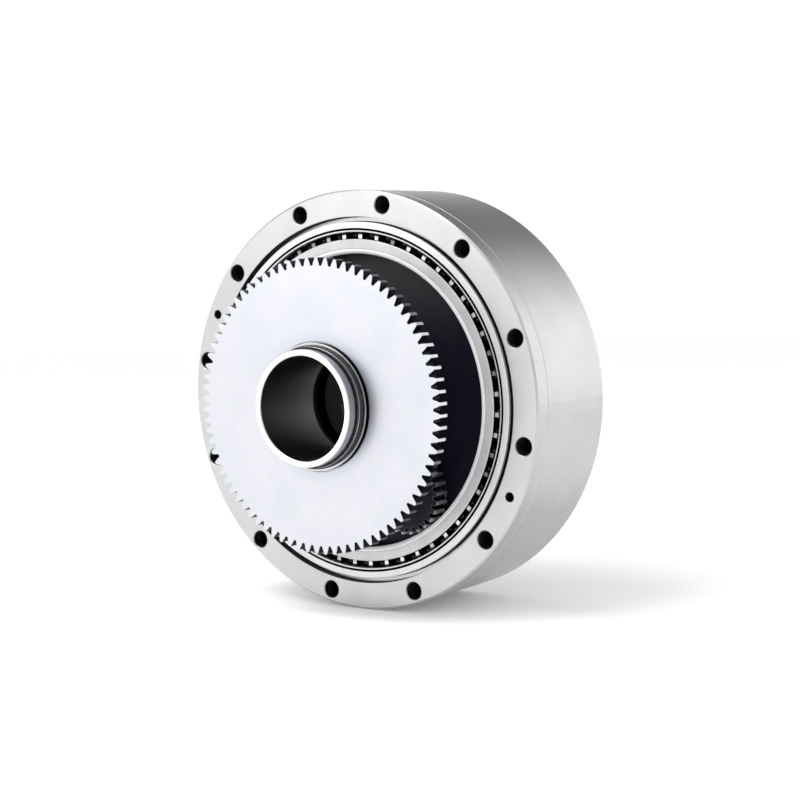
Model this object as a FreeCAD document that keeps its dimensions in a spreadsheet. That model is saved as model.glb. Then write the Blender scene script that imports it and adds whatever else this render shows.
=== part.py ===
import FreeCAD, Part
import math
import os
import Sketcher

# Hollow-shaft cycloidal reducer, 180 mm case. Millimetres.
# The turning axis is Y. The input side faces -Y, +Z is up, and the origin is
# the centre of the case's front face. Each piece is drawn from its own front
# plane, y = 0, backwards, and its Placement moves it to its seat.

os.makedirs("parts", exist_ok=True)
doc = FreeCAD.newDocument("CycloidalReducer")
sheet = doc.addObject("Spreadsheet::Sheet", "Dims")

# Driving dimensions: alias, value, meaning. Lengths in mm, angles in degrees.
drivingDimensions = [
    # Case
    ("caseRadius", "90", "outer radius of the case"),
    ("caseLength", "55", "length of the case"),
    ("caseChamfer", "0.8", "chamfer on the case's outer edges"),
    ("caseLineFront", "8.5", "front of the fine line turned on the case"),
    ("caseLineWidth", "0.3", "width of that line"),
    ("caseLineDepth", "0.15", "depth of that line"),
    ("counterboreGap", "2.15", "radial gap between case and front outer ring"),
    ("counterboreDepth", "4", "depth of that gap"),
    ("caseWall", "13.5", "wall of the case round the main bearings"),
    ("boltInset", "5.5", "hole circle inside the case's outer radius"),
    ("boltCount", "12", "tapped holes in the case"),
    ("boltAngle", "108.65", "angle of the first tapped hole"),
    ("boltTapRadius", "3.4", "tapping drill radius in the case"),
    ("boltTapDepth", "22", "depth of the tapped holes"),
    ("boltMouth", "0.7", "countersink beyond the tapping drill"),
    ("jackAngle", "153.65", "angle of the first small hole"),
    ("jackCount", "2", "small holes in the case"),
    ("jackRadius", "2.1", "radius of the small holes"),
    ("jackDepth", "12", "depth of the small holes"),
    # Cycloid stage
    ("pinInset", "6", "ring pins' circle inside the bearings' seats"),
    ("pinRadius", "2.5", "radius of a ring pin"),
    ("pinCount", "40", "ring pins"),
    ("pinFit", "0.05", "clearance of a pin in its groove"),
    ("pinEndGap", "0.15", "gap at each end of a pin"),
    ("lobeFit", "0.06", "clearance between lobes and pins"),
    ("eccentricity", "1.15", "throw of the crankshafts"),
    ("throwAngle", "90", "direction of the front disc's throw at rest"),
    ("discGap", "1", "gap between the discs"),
    ("discInset", "1.5", "from the hold flange to the front disc"),
    ("discEndGap", "0.3", "from the rear disc to the grooved section's end"),
    ("discWeb", "1.6", "web between a disc's centre hole and its crank bores"),
    ("windowGap", "0.6", "least gap between a pillar and its window"),
    # Main bearings
    ("bearingInset", "0.2", "front bearing behind the case's front face"),
    ("bearingWidth", "11.8", "width of a main bearing"),
    ("bearingSection", "11.5", "radial section of a main bearing"),
    ("outerRingWall", "4.34", "radial width of the outer ring"),
    ("innerRingWall", "4.1", "radial width of the inner ring"),
    ("ballRadius", "3.175", "radius of a ball"),
    ("ballCount", "52", "balls in a main bearing"),
    ("raceFit", "0.1", "clearance of rolling elements in their races"),
    ("ringChamfer", "0.2", "chamfer on the bearing rings"),
    ("faceGrooveInset", "0.72", "from the outer ring's bore to its face groove"),
    ("faceGrooveWidth", "0.86", "width of that groove"),
    ("faceGrooveDepth", "1.4", "depth of that groove"),
    ("cageLift", "0.25", "gap between a cage and the rings"),
    ("cageFinger", "1.9", "width of a finger of the ball cage"),
    ("cageInset", "0.9", "ball cage behind the bearing's front"),
    ("cageLength", "9.6", "length of the ball cage"),
    # Oil seal
    ("sealInset", "0.5", "oil seal behind the rear bearing"),
    ("sealWidth", "5", "width of the oil seal"),
    ("sealRecess", "0.4", "oil seal ahead of the case's rear face"),
    ("sealShell", "1.2", "wall of the seal's shell"),
    ("sealFit", "0.1", "clearance of the lip on the output flange"),
    ("sealLipWall", "2.4", "wall of the seal's lip at its root"),
    ("sealLipSlope", "1.2", "how much wider that wall is at the shell"),
    ("sealLipBevel", "0.6", "bevel on the lip's edge"),
    ("garterSeat", "1.5", "garter spring's circle outside the lip"),
    ("garterRadius", "0.6", "wire radius of the garter spring"),
    ("springLift", "0.05", "gap between the garter spring and the lip"),
    # Hold flange, the front half of the carrier
    ("holdInset", "0.3", "hold flange behind the case's front face"),
    ("holdLength", "18.2", "length of the hold flange"),
    ("shoulderHeight", "2.2", "height of the shoulder behind the bearing"),
    ("cavityWall", "2.2", "wall round the gear cavity"),
    ("cavityDepth", "9.2", "depth of the gear cavity"),
    ("cavityRounding", "1.5", "rounding at the mouth of the cavity"),
    ("cavityFillet", "1", "fillet round the cavity's floor"),
    # Output flange, the rear half of the carrier
    ("outputGap", "0.5", "from the grooved section to the output flange's plate"),
    ("outputStand", "4", "output face behind the case's rear face"),
    ("sealLandHeight", "2.5", "seal land above the rear bearing's seat"),
    ("outputChamfer", "0.8", "chamfer on the output flange"),
    ("outputBore", "23.5", "radius of the output flange's bore"),
    ("outputPilot", "34", "radius of the pilot recess in the output face"),
    ("outputPilotDepth", "2.5", "depth of that recess"),
    ("outputBoltInset", "8", "output face's hole circle inside the bearing seat"),
    ("outputBoltCount", "12", "tapped holes in the output face"),
    ("outputTapRadius", "3.4", "tapping drill radius in the output face"),
    ("outputTapDepth", "9", "depth of those holes"),
    ("outputTapMouth", "0.7", "countersink beyond that drill"),
    ("pillarAngle", "30", "direction of the first pillar"),
    ("pillarCount", "2", "pillars"),
    ("pillarHalfAngle", "32", "half the angle that a pillar spans"),
    ("pillarInner", "35", "inner radius of a pillar"),
    ("pillarInset", "5", "pillars inside the bearing seat"),
    # Carrier bolts and dowels
    ("screwCircle", "44", "radius of the carrier bolts' circle"),
    ("screwSpread", "20", "angle between neighbouring bolts"),
    ("screwRadius", "4", "radius of a carrier bolt's shank"),
    ("screwFit", "0.4", "clearance round a carrier bolt"),
    ("screwEndGap", "0.3", "gap ahead of a carrier bolt"),
    ("screwHead", "6.5", "radius of a carrier bolt's head"),
    ("screwHeadHeight", "7.8", "height of that head"),
    ("screwSocket", "3.46", "corner radius of the hexagon socket"),
    ("screwSocketDepth", "4", "depth of the socket"),
    ("screwSeatDepth", "9", "depth of the bolt heads' counterbores"),
    ("screwSeatFit", "0.5", "clearance round a bolt's head"),
    ("dowelCircle", "48", "radius of the dowels' circle"),
    ("dowelSpread", "10", "angle of a dowel from its pillar's middle"),
    ("dowelRadius", "2.5", "radius of a dowel"),
    ("dowelLength", "16", "length of a dowel"),
    ("dowelFit", "0.02", "clearance round a dowel"),
    ("fastenerRelief", "1", "depth of a hole beyond its dowel"),
    ("threadFloor", "1.2", "wall left in front of the bolts and dowels"),
    # Centre gear
    ("hubFront", "38", "hub's front face ahead of the case's front face"),
    ("sunWall", "5.4375", "wall of the hollow shaft under the sun gear's teeth"),
    ("reliefDepth", "2.25", "depth of the relief in the bore"),
    ("reliefStart", "36", "front of the relief"),
    ("reliefWidth", "8.7", "width of the relief"),
    ("hubWall", "2.75", "wall of the hub's front rim"),
    ("hubRim", "4.7", "width of the front rim"),
    ("hubChamfer", "0.4", "chamfer on the hub's edges"),
    ("snapGrooveDepth", "0.9", "depth of the snap ring groove"),
    ("snapGrooveWidth", "1", "width of the snap ring groove"),
    ("hubLandHeight", "0.8", "height of the land behind the snap ring"),
    ("hubLandWidth", "0.8", "width of that land"),
    ("sealGrooveDepth", "0.2", "depth of the O-ring groove below the rim"),
    ("sealGrooveWidth", "1.6", "width of the O-ring groove"),
    ("lipHeight", "2.2", "height of the lip behind the O-ring"),
    ("lipWidth", "0.6", "width of that lip"),
    ("undercutHeight", "1", "floor of the undercut at the gear above the rim"),
    ("undercutWidth", "1.3", "width of the undercut ahead of the gear"),
    ("undercutReach", "0.6", "how far the undercut runs into the gear's bore"),
    ("seatHeight", "2.7", "height of the large gear's seat above the rim"),
    ("seatFit", "0.02", "clearance of the large gear on its seat"),
    ("inputTeeth", "80", "teeth of the large gear"),
    ("inputModule", "1.5", "module of the large gear"),
    ("inputShift", "0.25", "profile shift of the large gear"),
    ("inputWidth", "5", "face width of the large gear"),
    ("neckHeight", "3.4", "height of the neck above the seat"),
    ("neckGap", "2", "from the neck to the sun gear"),
    ("sunTeeth", "46", "teeth of the sun gear"),
    ("spurCavityGap", "0.3", "clearance of the spur gears in the cavity"),
    ("pressureAngle", "20", "pressure angle of the gears"),
    ("toothThinning", "0.05", "taken off each tooth's thickness for backlash"),
    ("sunInset", "1", "sun gear's front ahead of the spur gears"),
    ("sunWidth", "8.4", "width of the sun gear"),
    ("journalWall", "2.75", "wall of the centre gear's journal"),
    ("journalLength", "8.8", "length of that journal"),
    # Spur gears and crankshafts
    ("spurTeeth", "26", "teeth of a spur gear"),
    ("spurFront", "1.5", "spur gears behind the case's front face"),
    ("spurWidth", "7", "face width of a spur gear"),
    ("crankAngle", "120", "direction of the first crankshaft"),
    ("crankCount", "2", "crankshafts"),
    ("splineTeeth", "14", "teeth of the spline"),
    ("splineTip", "7.2", "tip radius of the spline"),
    ("splineDepth", "0.9", "depth of the spline"),
    ("splineFit", "0.05", "clearance in the spline"),
    ("splineProud", "1.2", "spline's end ahead of the spur gear"),
    ("shaftRingWall", "1.6", "radial width of the spur gear's snap ring"),
    ("shaftRingWidth", "0.8", "thickness of that snap ring"),
    ("shaftRingOpening", "3", "width of that snap ring's opening"),
    ("crankJournal", "7.5", "radius of a crankshaft's journals"),
    ("crankCam", "11", "radius of the eccentric cams"),
    ("crankShoulder", "8.8", "radius of the shoulders beside the cams"),
    ("camGap", "0.4", "how far the cams stand past the discs"),
    # Crankshaft bearings
    ("cupOuter", "16", "outer radius of a tapered roller bearing"),
    ("taperWidth", "8.6", "width of a tapered roller bearing"),
    ("taperCircle", "11.6", "radius of its rollers' circle"),
    ("taperRoller", "1.9", "mean radius of a tapered roller"),
    ("taperLength", "6", "length of a tapered roller"),
    ("taperAxis", "10", "slope of a roller's axis"),
    ("taperFlare", "1.63", "half the taper of a roller"),
    ("taperCount", "13", "rollers in a tapered roller bearing"),
    ("taperCageWall", "0.5", "half the wall of its cage"),
    ("taperGap", "0.3", "gap beside a cage or a bearing"),
    ("wideRib", "1", "height of the rib at the rollers' wide ends"),
    ("narrowRib", "0.5", "height of the rib at their narrow ends"),
    ("needleRadius", "1.4", "radius of a disc bearing's needle"),
    ("needleCount", "18", "needles in a disc bearing"),
    ("needleCageWall", "0.6", "half the wall of that cage"),
    ("needleCageRim", "0.7", "rim at each end of a needle cage"),
    ("windowFit", "0.15", "clearance of a roller in its window"),
    ("centreNeedle", "0.95", "radius of a centre bearing's needle"),
    ("centreNeedleCount", "40", "needles in the centre bearing"),
    ("centreNeedleLength", "5", "length of those needles"),
    ("centreCageWall", "0.35", "half the wall of that cage"),
    ("snapRingFit", "0.1", "clearance of a snap ring in its groove"),
    ("snapRingWall", "1.5", "radial width of the hub's snap ring"),
    ("snapRingOpening", "9", "width of the snap ring's opening"),
    ("sealRingWire", "0.74", "section radius of the hub's O-ring"),
]


class Size:
    # A number together with the sheet expression that gives it.
    def __init__(self, value, text):
        self.value = float(value)
        self.text = text

    def joined(self, other, sign, result):
        return Size(result, "(" + self.text + sign + other.text + ")")

    def __add__(self, other):
        other = sized(other)
        return self.joined(other, " + ", self.value + other.value)

    def __sub__(self, other):
        other = sized(other)
        return self.joined(other, " - ", self.value - other.value)

    def __mul__(self, other):
        other = sized(other)
        return self.joined(other, " * ", self.value * other.value)

    def __truediv__(self, other):
        other = sized(other)
        return self.joined(other, " / ", self.value / other.value)

    def __radd__(self, other):
        return sized(other) + self

    def __rsub__(self, other):
        return sized(other) - self

    def __rmul__(self, other):
        return sized(other) * self

    def __rtruediv__(self, other):
        return sized(other) / self

    def __neg__(self):
        return Size(-self.value, "(-" + self.text + ")")


def sized(number):
    if isinstance(number, Size):
        return number
    return Size(number, repr(float(number)))


def sinOf(angle):
    return Size(math.sin(math.radians(angle.value)), "sin(" + angle.text + ")")


def cosOf(angle):
    return Size(math.cos(math.radians(angle.value)), "cos(" + angle.text + ")")


def tanOf(angle):
    return Size(math.tan(math.radians(angle.value)), "tan(" + angle.text + ")")


class Dimensions:
    # The sheet's cells as attributes.
    pass


dim = Dimensions()
for row, (alias, value, meaning) in enumerate(drivingDimensions, start=1):
    sheet.set("A" + str(row), meaning)
    sheet.set("B" + str(row), value)
    sheet.setAlias("B" + str(row), alias)
doc.recompute()
for alias, value, meaning in drivingDimensions:
    setattr(dim, alias, Size(sheet.get(alias), "Dims." + alias))

nothing = sized(0)
full = 360.0
dedendum = 1.25
samePlace = 1e-6


# Radii that follow the case

bearingOuter = dim.caseRadius - dim.caseWall
bearingInner = bearingOuter - dim.bearingSection
outerLand = bearingOuter - dim.outerRingWall
innerLand = bearingInner + dim.innerRingWall
ballCircle = (outerLand + innerLand) / 2
faceGrooveInner = outerLand + dim.faceGrooveInset
boltCircle = dim.caseRadius - dim.boltInset
counterboreRadius = bearingOuter + dim.counterboreGap
pinCircle = bearingOuter - dim.pinInset
cavityRadius = bearingInner - dim.cavityWall
outputRadius = bearingInner + dim.sealLandHeight
pillarOuter = bearingInner - dim.pillarInset

# The first stage fills the cavity: sun gear, spur gears and their distance

spurReach = dim.sunTeeth / 2 + dim.spurTeeth + 1
stageModule = (cavityRadius - dim.spurCavityGap) / spurReach
centreDistance = stageModule * (dim.sunTeeth + dim.spurTeeth) / 2
sunRoot = stageModule * (dim.sunTeeth / 2 - dedendum)
shaftBore = sunRoot - dim.sunWall
shaftRelief = shaftBore + dim.reliefDepth
hubRadius = shaftBore + dim.hubWall
snapGroove = hubRadius - dim.snapGrooveDepth
sealGroove = hubRadius - dim.sealGrooveDepth
seatRadius = hubRadius + dim.seatHeight
journalRadius = shaftBore + dim.journalWall
needleCircle = dim.crankCam + dim.raceFit + dim.needleRadius
discCrankBore = needleCircle + dim.needleRadius + dim.raceFit
discBore = centreDistance - discCrankBore - dim.discWeb
centreNeedleCircle = journalRadius + dim.raceFit + dim.centreNeedle
holdBore = centreNeedleCircle + dim.centreNeedle + dim.raceFit

# Planes along the axis, measured from the case's front face

frontBearing = dim.bearingInset
ringFront = dim.bearingInset + dim.bearingWidth
rearBearingBack = dim.caseLength - dim.sealRecess - dim.sealWidth - dim.sealInset
ringBack = rearBearingBack - dim.bearingWidth
ringLength = ringBack - ringFront
holdBack = dim.holdInset + dim.holdLength
holdFloor = dim.holdInset + dim.cavityDepth
frontDisc = holdBack + dim.discInset
discWidth = (ringBack - dim.discEndGap - frontDisc - dim.discGap) / 2
rearDisc = frontDisc + discWidth + dim.discGap
outputFront = ringBack + dim.outputGap
outputRear = dim.caseLength + dim.outputStand
threadStart = holdFloor + dim.threadFloor
screwLength = outputRear - dim.screwSeatDepth - threadStart - dim.screwEndGap
sunFront = dim.spurFront - dim.sunInset

# Planes of the hub, measured from its own front face

snapBack = dim.hubRim + dim.snapGrooveWidth
landBack = snapBack + dim.hubLandWidth
sealBack = landBack + dim.sealGrooveWidth
lipBack = sealBack + dim.lipWidth
gearFace = lipBack + dim.undercutWidth
seatBack = gearFace + dim.inputWidth


# Helpers for sketches, features and placements

def origin(body, role):
    for feature in body.Origin.OriginFeatures:
        if feature.Role == role:
            return feature


def newBody(label):
    body = doc.addObject("PartDesign::Body", label)
    body.Label = label
    return body


def newSketch(body, name, plane, depth=None):
    sketch = body.newObject("Sketcher::SketchObject", body.Label + "_" + name)
    sketch.AttachmentSupport = (origin(body, plane), [""])
    sketch.MapMode = "FlatFace"
    if depth is not None:
        bindPlace(sketch, "AttachmentOffset", nothing, nothing, -depth)
    return sketch


def bind(feature, name, size):
    setattr(feature, name, size.value)
    feature.setExpression(name, size.text)


def bindPlace(feature, name, x, y, z, rotation=FreeCAD.Rotation()):
    base = FreeCAD.Vector(x.value, y.value, z.value)
    setattr(feature, name, FreeCAD.Placement(base, rotation))
    for axis, size in (("x", x), ("y", y), ("z", z)):
        feature.setExpression(name + ".Base." + axis, size.text)


def bindPoint(sketch, edge, point, across, along):
    for kind, size in (("DistanceX", across), ("DistanceY", along)):
        constraint = Sketcher.Constraint(kind, -1, 1, edge, point, size.value)
        index = sketch.addConstraint(constraint)
        sketch.setExpression("Constraints[" + str(index) + "]", size.text)


def bindValue(sketch, kind, edge, size):
    value = math.radians(size.value) if kind == "Angle" else size.value
    index = sketch.addConstraint(Sketcher.Constraint(kind, edge, value))
    sketch.setExpression("Constraints[" + str(index) + "]", size.text)


def outline(sketch, corners):
    # A closed outline of straight lines through the given corners.
    corners = [(sized(across), sized(along)) for across, along in corners]
    count = len(corners)
    first = sketch.GeometryCount
    for index in range(count):
        start = corners[index]
        end = corners[(index + 1) % count]
        startPoint = FreeCAD.Vector(start[0].value, start[1].value, 0)
        endPoint = FreeCAD.Vector(end[0].value, end[1].value, 0)
        sketch.addGeometry(Part.LineSegment(startPoint, endPoint))
    for index in range(count):
        after = first + (index + 1) % count
        sketch.addConstraint(Sketcher.Constraint("Coincident", first + index, 2, after, 1))
    for index in range(count):
        bindPoint(sketch, first + index, 1, *corners[index])


def circle(sketch, across, along, radius):
    centre = FreeCAD.Vector(across.value, along.value, 0)
    edge = sketch.addGeometry(Part.Circle(centre, FreeCAD.Vector(0, 0, 1), radius.value))
    bindPoint(sketch, edge, 3, across, along)
    bindValue(sketch, "Radius", edge, radius)


def polar(radius, angle):
    return radius * cosOf(angle), radius * sinOf(angle)


def polarPlaces(radius, angle, count):
    # Evenly spaced places round the axis, the first at the given angle.
    number = round(count.value)
    return [polar(radius, angle + full * index / count) for index in range(number)]


def rounds(places, radius):
    return [(across, up, radius) for across, up in places]


def turned(body, corners, name="turned", groove=False):
    # A profile (radius, y) turned round the Y axis, or turned away.
    sketch = newSketch(body, name + "_profile", "XY_Plane")
    outline(sketch, corners)
    kind = "PartDesign::Groove" if groove else "PartDesign::Revolution"
    feature = body.newObject(kind, body.Label + "_" + name)
    feature.Profile = sketch
    feature.ReferenceAxis = (sketch, ["V_Axis"])
    feature.Angle = full
    return feature


def race(body, radius, along, size, name="race"):
    # A round race turned into a ring.
    sketch = newSketch(body, name + "_profile", "XY_Plane")
    circle(sketch, radius, along, size)
    feature = body.newObject("PartDesign::Groove", body.Label + "_" + name)
    feature.Profile = sketch
    feature.ReferenceAxis = (sketch, ["V_Axis"])
    feature.Angle = full
    return feature


def boss(body, name, discs, start, length):
    # Round bosses (across, up, radius) standing from start backwards.
    sketch = newSketch(body, name + "_outline", "XZ_Plane", start)
    for across, up, radius in discs:
        circle(sketch, across, up, radius)
    feature = body.newObject("PartDesign::Pad", body.Label + "_" + name)
    feature.Profile = sketch
    feature.Reversed = True
    bind(feature, "Length", length)
    return feature


def drilled(body, name, discs, start, length):
    # Round holes (across, up, radius) cut from start backwards.
    sketch = newSketch(body, name + "_outline", "XZ_Plane", start)
    for across, up, radius in discs:
        circle(sketch, across, up, radius)
    feature = body.newObject("PartDesign::Pocket", body.Label + "_" + name)
    feature.Profile = sketch
    bind(feature, "Length", length)
    return feature


def tapped(body, name, places, radius, depth, mouth, start, reverse=False):
    # Drilled holes with pointed ends and countersunk mouths.
    sketch = newSketch(body, name + "_centres", "XZ_Plane", start)
    for across, up in places:
        circle(sketch, across, up, radius)
    doc.recompute()
    feature = body.newObject("PartDesign::Hole", body.Label + "_" + name)
    feature.Profile = sketch
    feature.Reversed = reverse
    feature.DepthType = "Dimension"
    feature.DrillPoint = "Angled"
    feature.HoleCutType = "Countersink"
    feature.HoleCutCountersinkAngle = 90
    bind(feature, "Diameter", radius * 2)
    bind(feature, "Depth", depth)
    bind(feature, "HoleCutDiameter", (radius + mouth) * 2)
    return feature


def repeated(body, features, count, name="repeated"):
    pattern = body.newObject("PartDesign::PolarPattern", body.Label + "_" + name)
    pattern.Originals = features
    pattern.Axis = (origin(body, "Y_Axis"), [""])
    pattern.Angle = full
    pattern.setExpression("Occurrences", count.text)
    body.Tip = pattern
    return pattern


def place(piece, along, across=nothing, up=nothing, mirrored=False):
    # Mirrored pieces are the same piece turned end for end.
    half = FreeCAD.Rotation(FreeCAD.Vector(0, 0, 1), 180)
    rotation = half if mirrored else FreeCAD.Rotation()
    bindPlace(piece, "Placement", across, along, up, rotation)


def rectangle(inner, outer, start, end, chamfer):
    # A ring's section with its four corners chamfered.
    return [
        (inner + chamfer, start), (outer - chamfer, start),
        (outer, start + chamfer), (outer, end - chamfer),
        (outer - chamfer, end), (inner + chamfer, end),
        (inner, end - chamfer), (inner, start + chamfer),
    ]


# Curves worked out by formula: gear teeth, lobes and splines

def point(radius, angle, along=0.0):
    return FreeCAD.Vector(radius * math.cos(angle), along, radius * math.sin(angle))


def curve(points):
    spline = Part.BSplineCurve()
    spline.interpolate(points)
    return spline.toShape()


def roundArc(radius, start, end):
    middle = (start + end) / 2
    return Part.Arc(point(radius, start), point(radius, middle), point(radius, end)).toShape()


def straight(radiusStart, angleStart, radiusEnd, angleEnd):
    return Part.LineSegment(point(radiusStart, angleStart), point(radiusEnd, angleEnd)).toShape()


def roundWire(centreX, centreZ, radius):
    centre = FreeCAD.Vector(centreX, 0, centreZ)
    return Part.Wire(Part.Circle(centre, FreeCAD.Vector(0, 1, 0), radius).toShape())


def gearWire(teeth, module, shift, thinning, toothAngle):
    # An involute gear's outline, with one tooth centred on toothAngle.
    flankSteps = 5
    pressure = math.radians(dim.pressureAngle.value)
    pitchRadius = teeth * module / 2
    baseRadius = pitchRadius * math.cos(pressure)
    tipRadius = pitchRadius + module * (1 + shift)
    rootRadius = pitchRadius - module * (dedendum - shift)
    thickness = module * (math.pi / 2 + 2 * shift * math.tan(pressure)) - thinning
    involuteAtPitch = math.tan(pressure) - pressure
    footRadius = max(baseRadius, rootRadius)

    def halfAngle(radius):
        local = math.acos(min(1.0, baseRadius / radius))
        involute = math.tan(local) - local
        return thickness / (2 * pitchRadius) + involuteAtPitch - involute

    edges = []
    for tooth in range(teeth):
        centre = toothAngle + 2 * math.pi * tooth / teeth
        following = centre + 2 * math.pi / teeth
        radii = []
        for step in range(flankSteps):
            radii.append(footRadius + (tipRadius - footRadius) * step / (flankSteps - 1))
        foot = halfAngle(footRadius)
        if footRadius > rootRadius:
            edges.append(straight(rootRadius, centre - foot, footRadius, centre - foot))
        edges.append(curve([point(radius, centre - halfAngle(radius)) for radius in radii]))
        tip = halfAngle(tipRadius)
        edges.append(roundArc(tipRadius, centre - tip, centre + tip))
        radii.reverse()
        edges.append(curve([point(radius, centre + halfAngle(radius)) for radius in radii]))
        if footRadius > rootRadius:
            edges.append(straight(footRadius, centre + foot, rootRadius, centre + foot))
        edges.append(roundArc(rootRadius, centre + foot, following - foot))
    return Part.Wire(edges)


def splineWire(teeth, tipRadius, rootRadius):
    # Straight-sided teeth, each as wide as the space beside it.
    edges = []
    pitch = 2 * math.pi / teeth
    for tooth in range(teeth):
        start = tooth * pitch
        edges.append(roundArc(tipRadius, start, start + pitch / 2))
        edges.append(straight(tipRadius, start + pitch / 2, rootRadius, start + pitch / 2))
        edges.append(roundArc(rootRadius, start + pitch / 2, start + pitch))
        edges.append(straight(rootRadius, start + pitch, tipRadius, start + pitch))
    return Part.Wire(edges)


def lobeWire(throwDirection):
    # The cycloid disc's outline round its own centre: one curve for each lobe,
    # from valley to valley, with a valley in the direction of the throw.
    lobeSteps = 14
    pins = round(dim.pinCount.value)
    circleRadius = pinCircle.value
    pinReach = dim.pinRadius.value + dim.lobeFit.value
    throw = dim.eccentricity.value
    lobes = pins - 1

    def lobePoint(angle):
        turn = (1 - pins) * angle
        lean = math.atan2(math.sin(turn), circleRadius / (throw * pins) - math.cos(turn))
        across = circleRadius * math.cos(angle) - pinReach * math.cos(angle + lean)
        across = across - throw * math.cos(pins * angle)
        up = -circleRadius * math.sin(angle) + pinReach * math.sin(angle + lean)
        up = up + throw * math.sin(pins * angle)
        return point(math.hypot(across, up), math.atan2(up, across) + throwDirection)

    edges = []
    for lobe in range(lobes):
        start = 2 * math.pi * lobe / lobes
        steps = [start + 2 * math.pi / lobes * step / lobeSteps for step in range(lobeSteps + 1)]
        edges.append(curve([lobePoint(angle) for angle in steps]))
    return Part.Wire(edges)


def windowWire(middle, halfAngle, inner, outer):
    low = middle - halfAngle
    high = middle + halfAngle
    return Part.Wire([
        roundArc(outer, low, high),
        straight(outer, high, inner, high),
        roundArc(inner, high, low),
        straight(inner, low, outer, low),
    ])


def prism(outer, holes, start, length):
    face = Part.makeFace([outer] + holes, "Part::FaceMakerBullseye")
    solid = face.extrude(FreeCAD.Vector(0, length, 0))
    solid.translate(FreeCAD.Vector(0, start, 0))
    return solid


def shaped(label, shape):
    piece = doc.addObject("Part::Feature", label)
    piece.Label = label
    piece.Shape = shape
    return piece


def radialCutter(corners, inner, outer):
    # A prism along X with the outline (y, z), from inside a ring to outside it.
    start = inner.value / 2
    points = [FreeCAD.Vector(start, sized(y).value, sized(z).value) for y, z in corners]
    face = Part.Face(Part.makePolygon(points + points[:1]))
    return face.extrude(FreeCAD.Vector(outer.value * 2 - start, 0, 0))


def copies(solid, count):
    axis = FreeCAD.Vector(0, 1, 0)
    centre = FreeCAD.Vector(0, 0, 0)
    number = round(count.value)
    ring = []
    for index in range(number):
        piece = solid.copy()
        piece.rotate(centre, axis, full * index / number)
        ring.append(piece)
    return Part.Compound(ring)


def cutAway(label, blank, cutters):
    cut = doc.addObject("Part::Cut", label)
    cut.Label = label
    cut.Base = blank
    cut.Tool = shaped(label + "_cutters", cutters)
    return cut


def fused(label, pieces):
    fuse = doc.addObject("Part::MultiFuse", label)
    fuse.Label = label
    fuse.Shapes = pieces
    return fuse


# Case and ring pins

def makeCase():
    body = newBody("case")
    lineBack = dim.caseLineFront + dim.caseLineWidth
    lineFloor = dim.caseRadius - dim.caseLineDepth
    turned(body, [
        (counterboreRadius, nothing),
        (dim.caseRadius - dim.caseChamfer, nothing),
        (dim.caseRadius, dim.caseChamfer),
        (dim.caseRadius, dim.caseLineFront),
        (lineFloor, dim.caseLineFront),
        (lineFloor, lineBack),
        (dim.caseRadius, lineBack),
        (dim.caseRadius, dim.caseLength - dim.caseChamfer),
        (dim.caseRadius - dim.caseChamfer, dim.caseLength),
        (bearingOuter, dim.caseLength),
        (bearingOuter, ringBack),
        (pinCircle, ringBack),
        (pinCircle, ringFront),
        (bearingOuter, ringFront),
        (bearingOuter, dim.counterboreDepth),
        (counterboreRadius, dim.counterboreDepth),
    ])
    tapped(
        body, "bolt_holes", polarPlaces(boltCircle, dim.boltAngle, dim.boltCount),
        dim.boltTapRadius, dim.boltTapDepth, dim.boltMouth, nothing)
    jacks = polarPlaces(boltCircle, dim.jackAngle, dim.jackCount)
    drilled(body, "jack_holes", rounds(jacks, dim.jackRadius), nothing, dim.jackDepth)
    body.Label = "case_blank"
    groove = prism(
        roundWire(pinCircle.value, 0, (dim.pinRadius + dim.pinFit).value), [],
        ringFront.value, ringLength.value)
    return cutAway("case", body, copies(groove, dim.pinCount))


def makeRingPins():
    body = newBody("ring_pins")
    length = ringLength - dim.pinEndGap * 2
    pin = boss(body, "pin", [(pinCircle, nothing, dim.pinRadius)], nothing, length)
    repeated(body, [pin], dim.pinCount)
    place(body, ringFront + dim.pinEndGap)
    return body


# Main bearings

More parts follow.
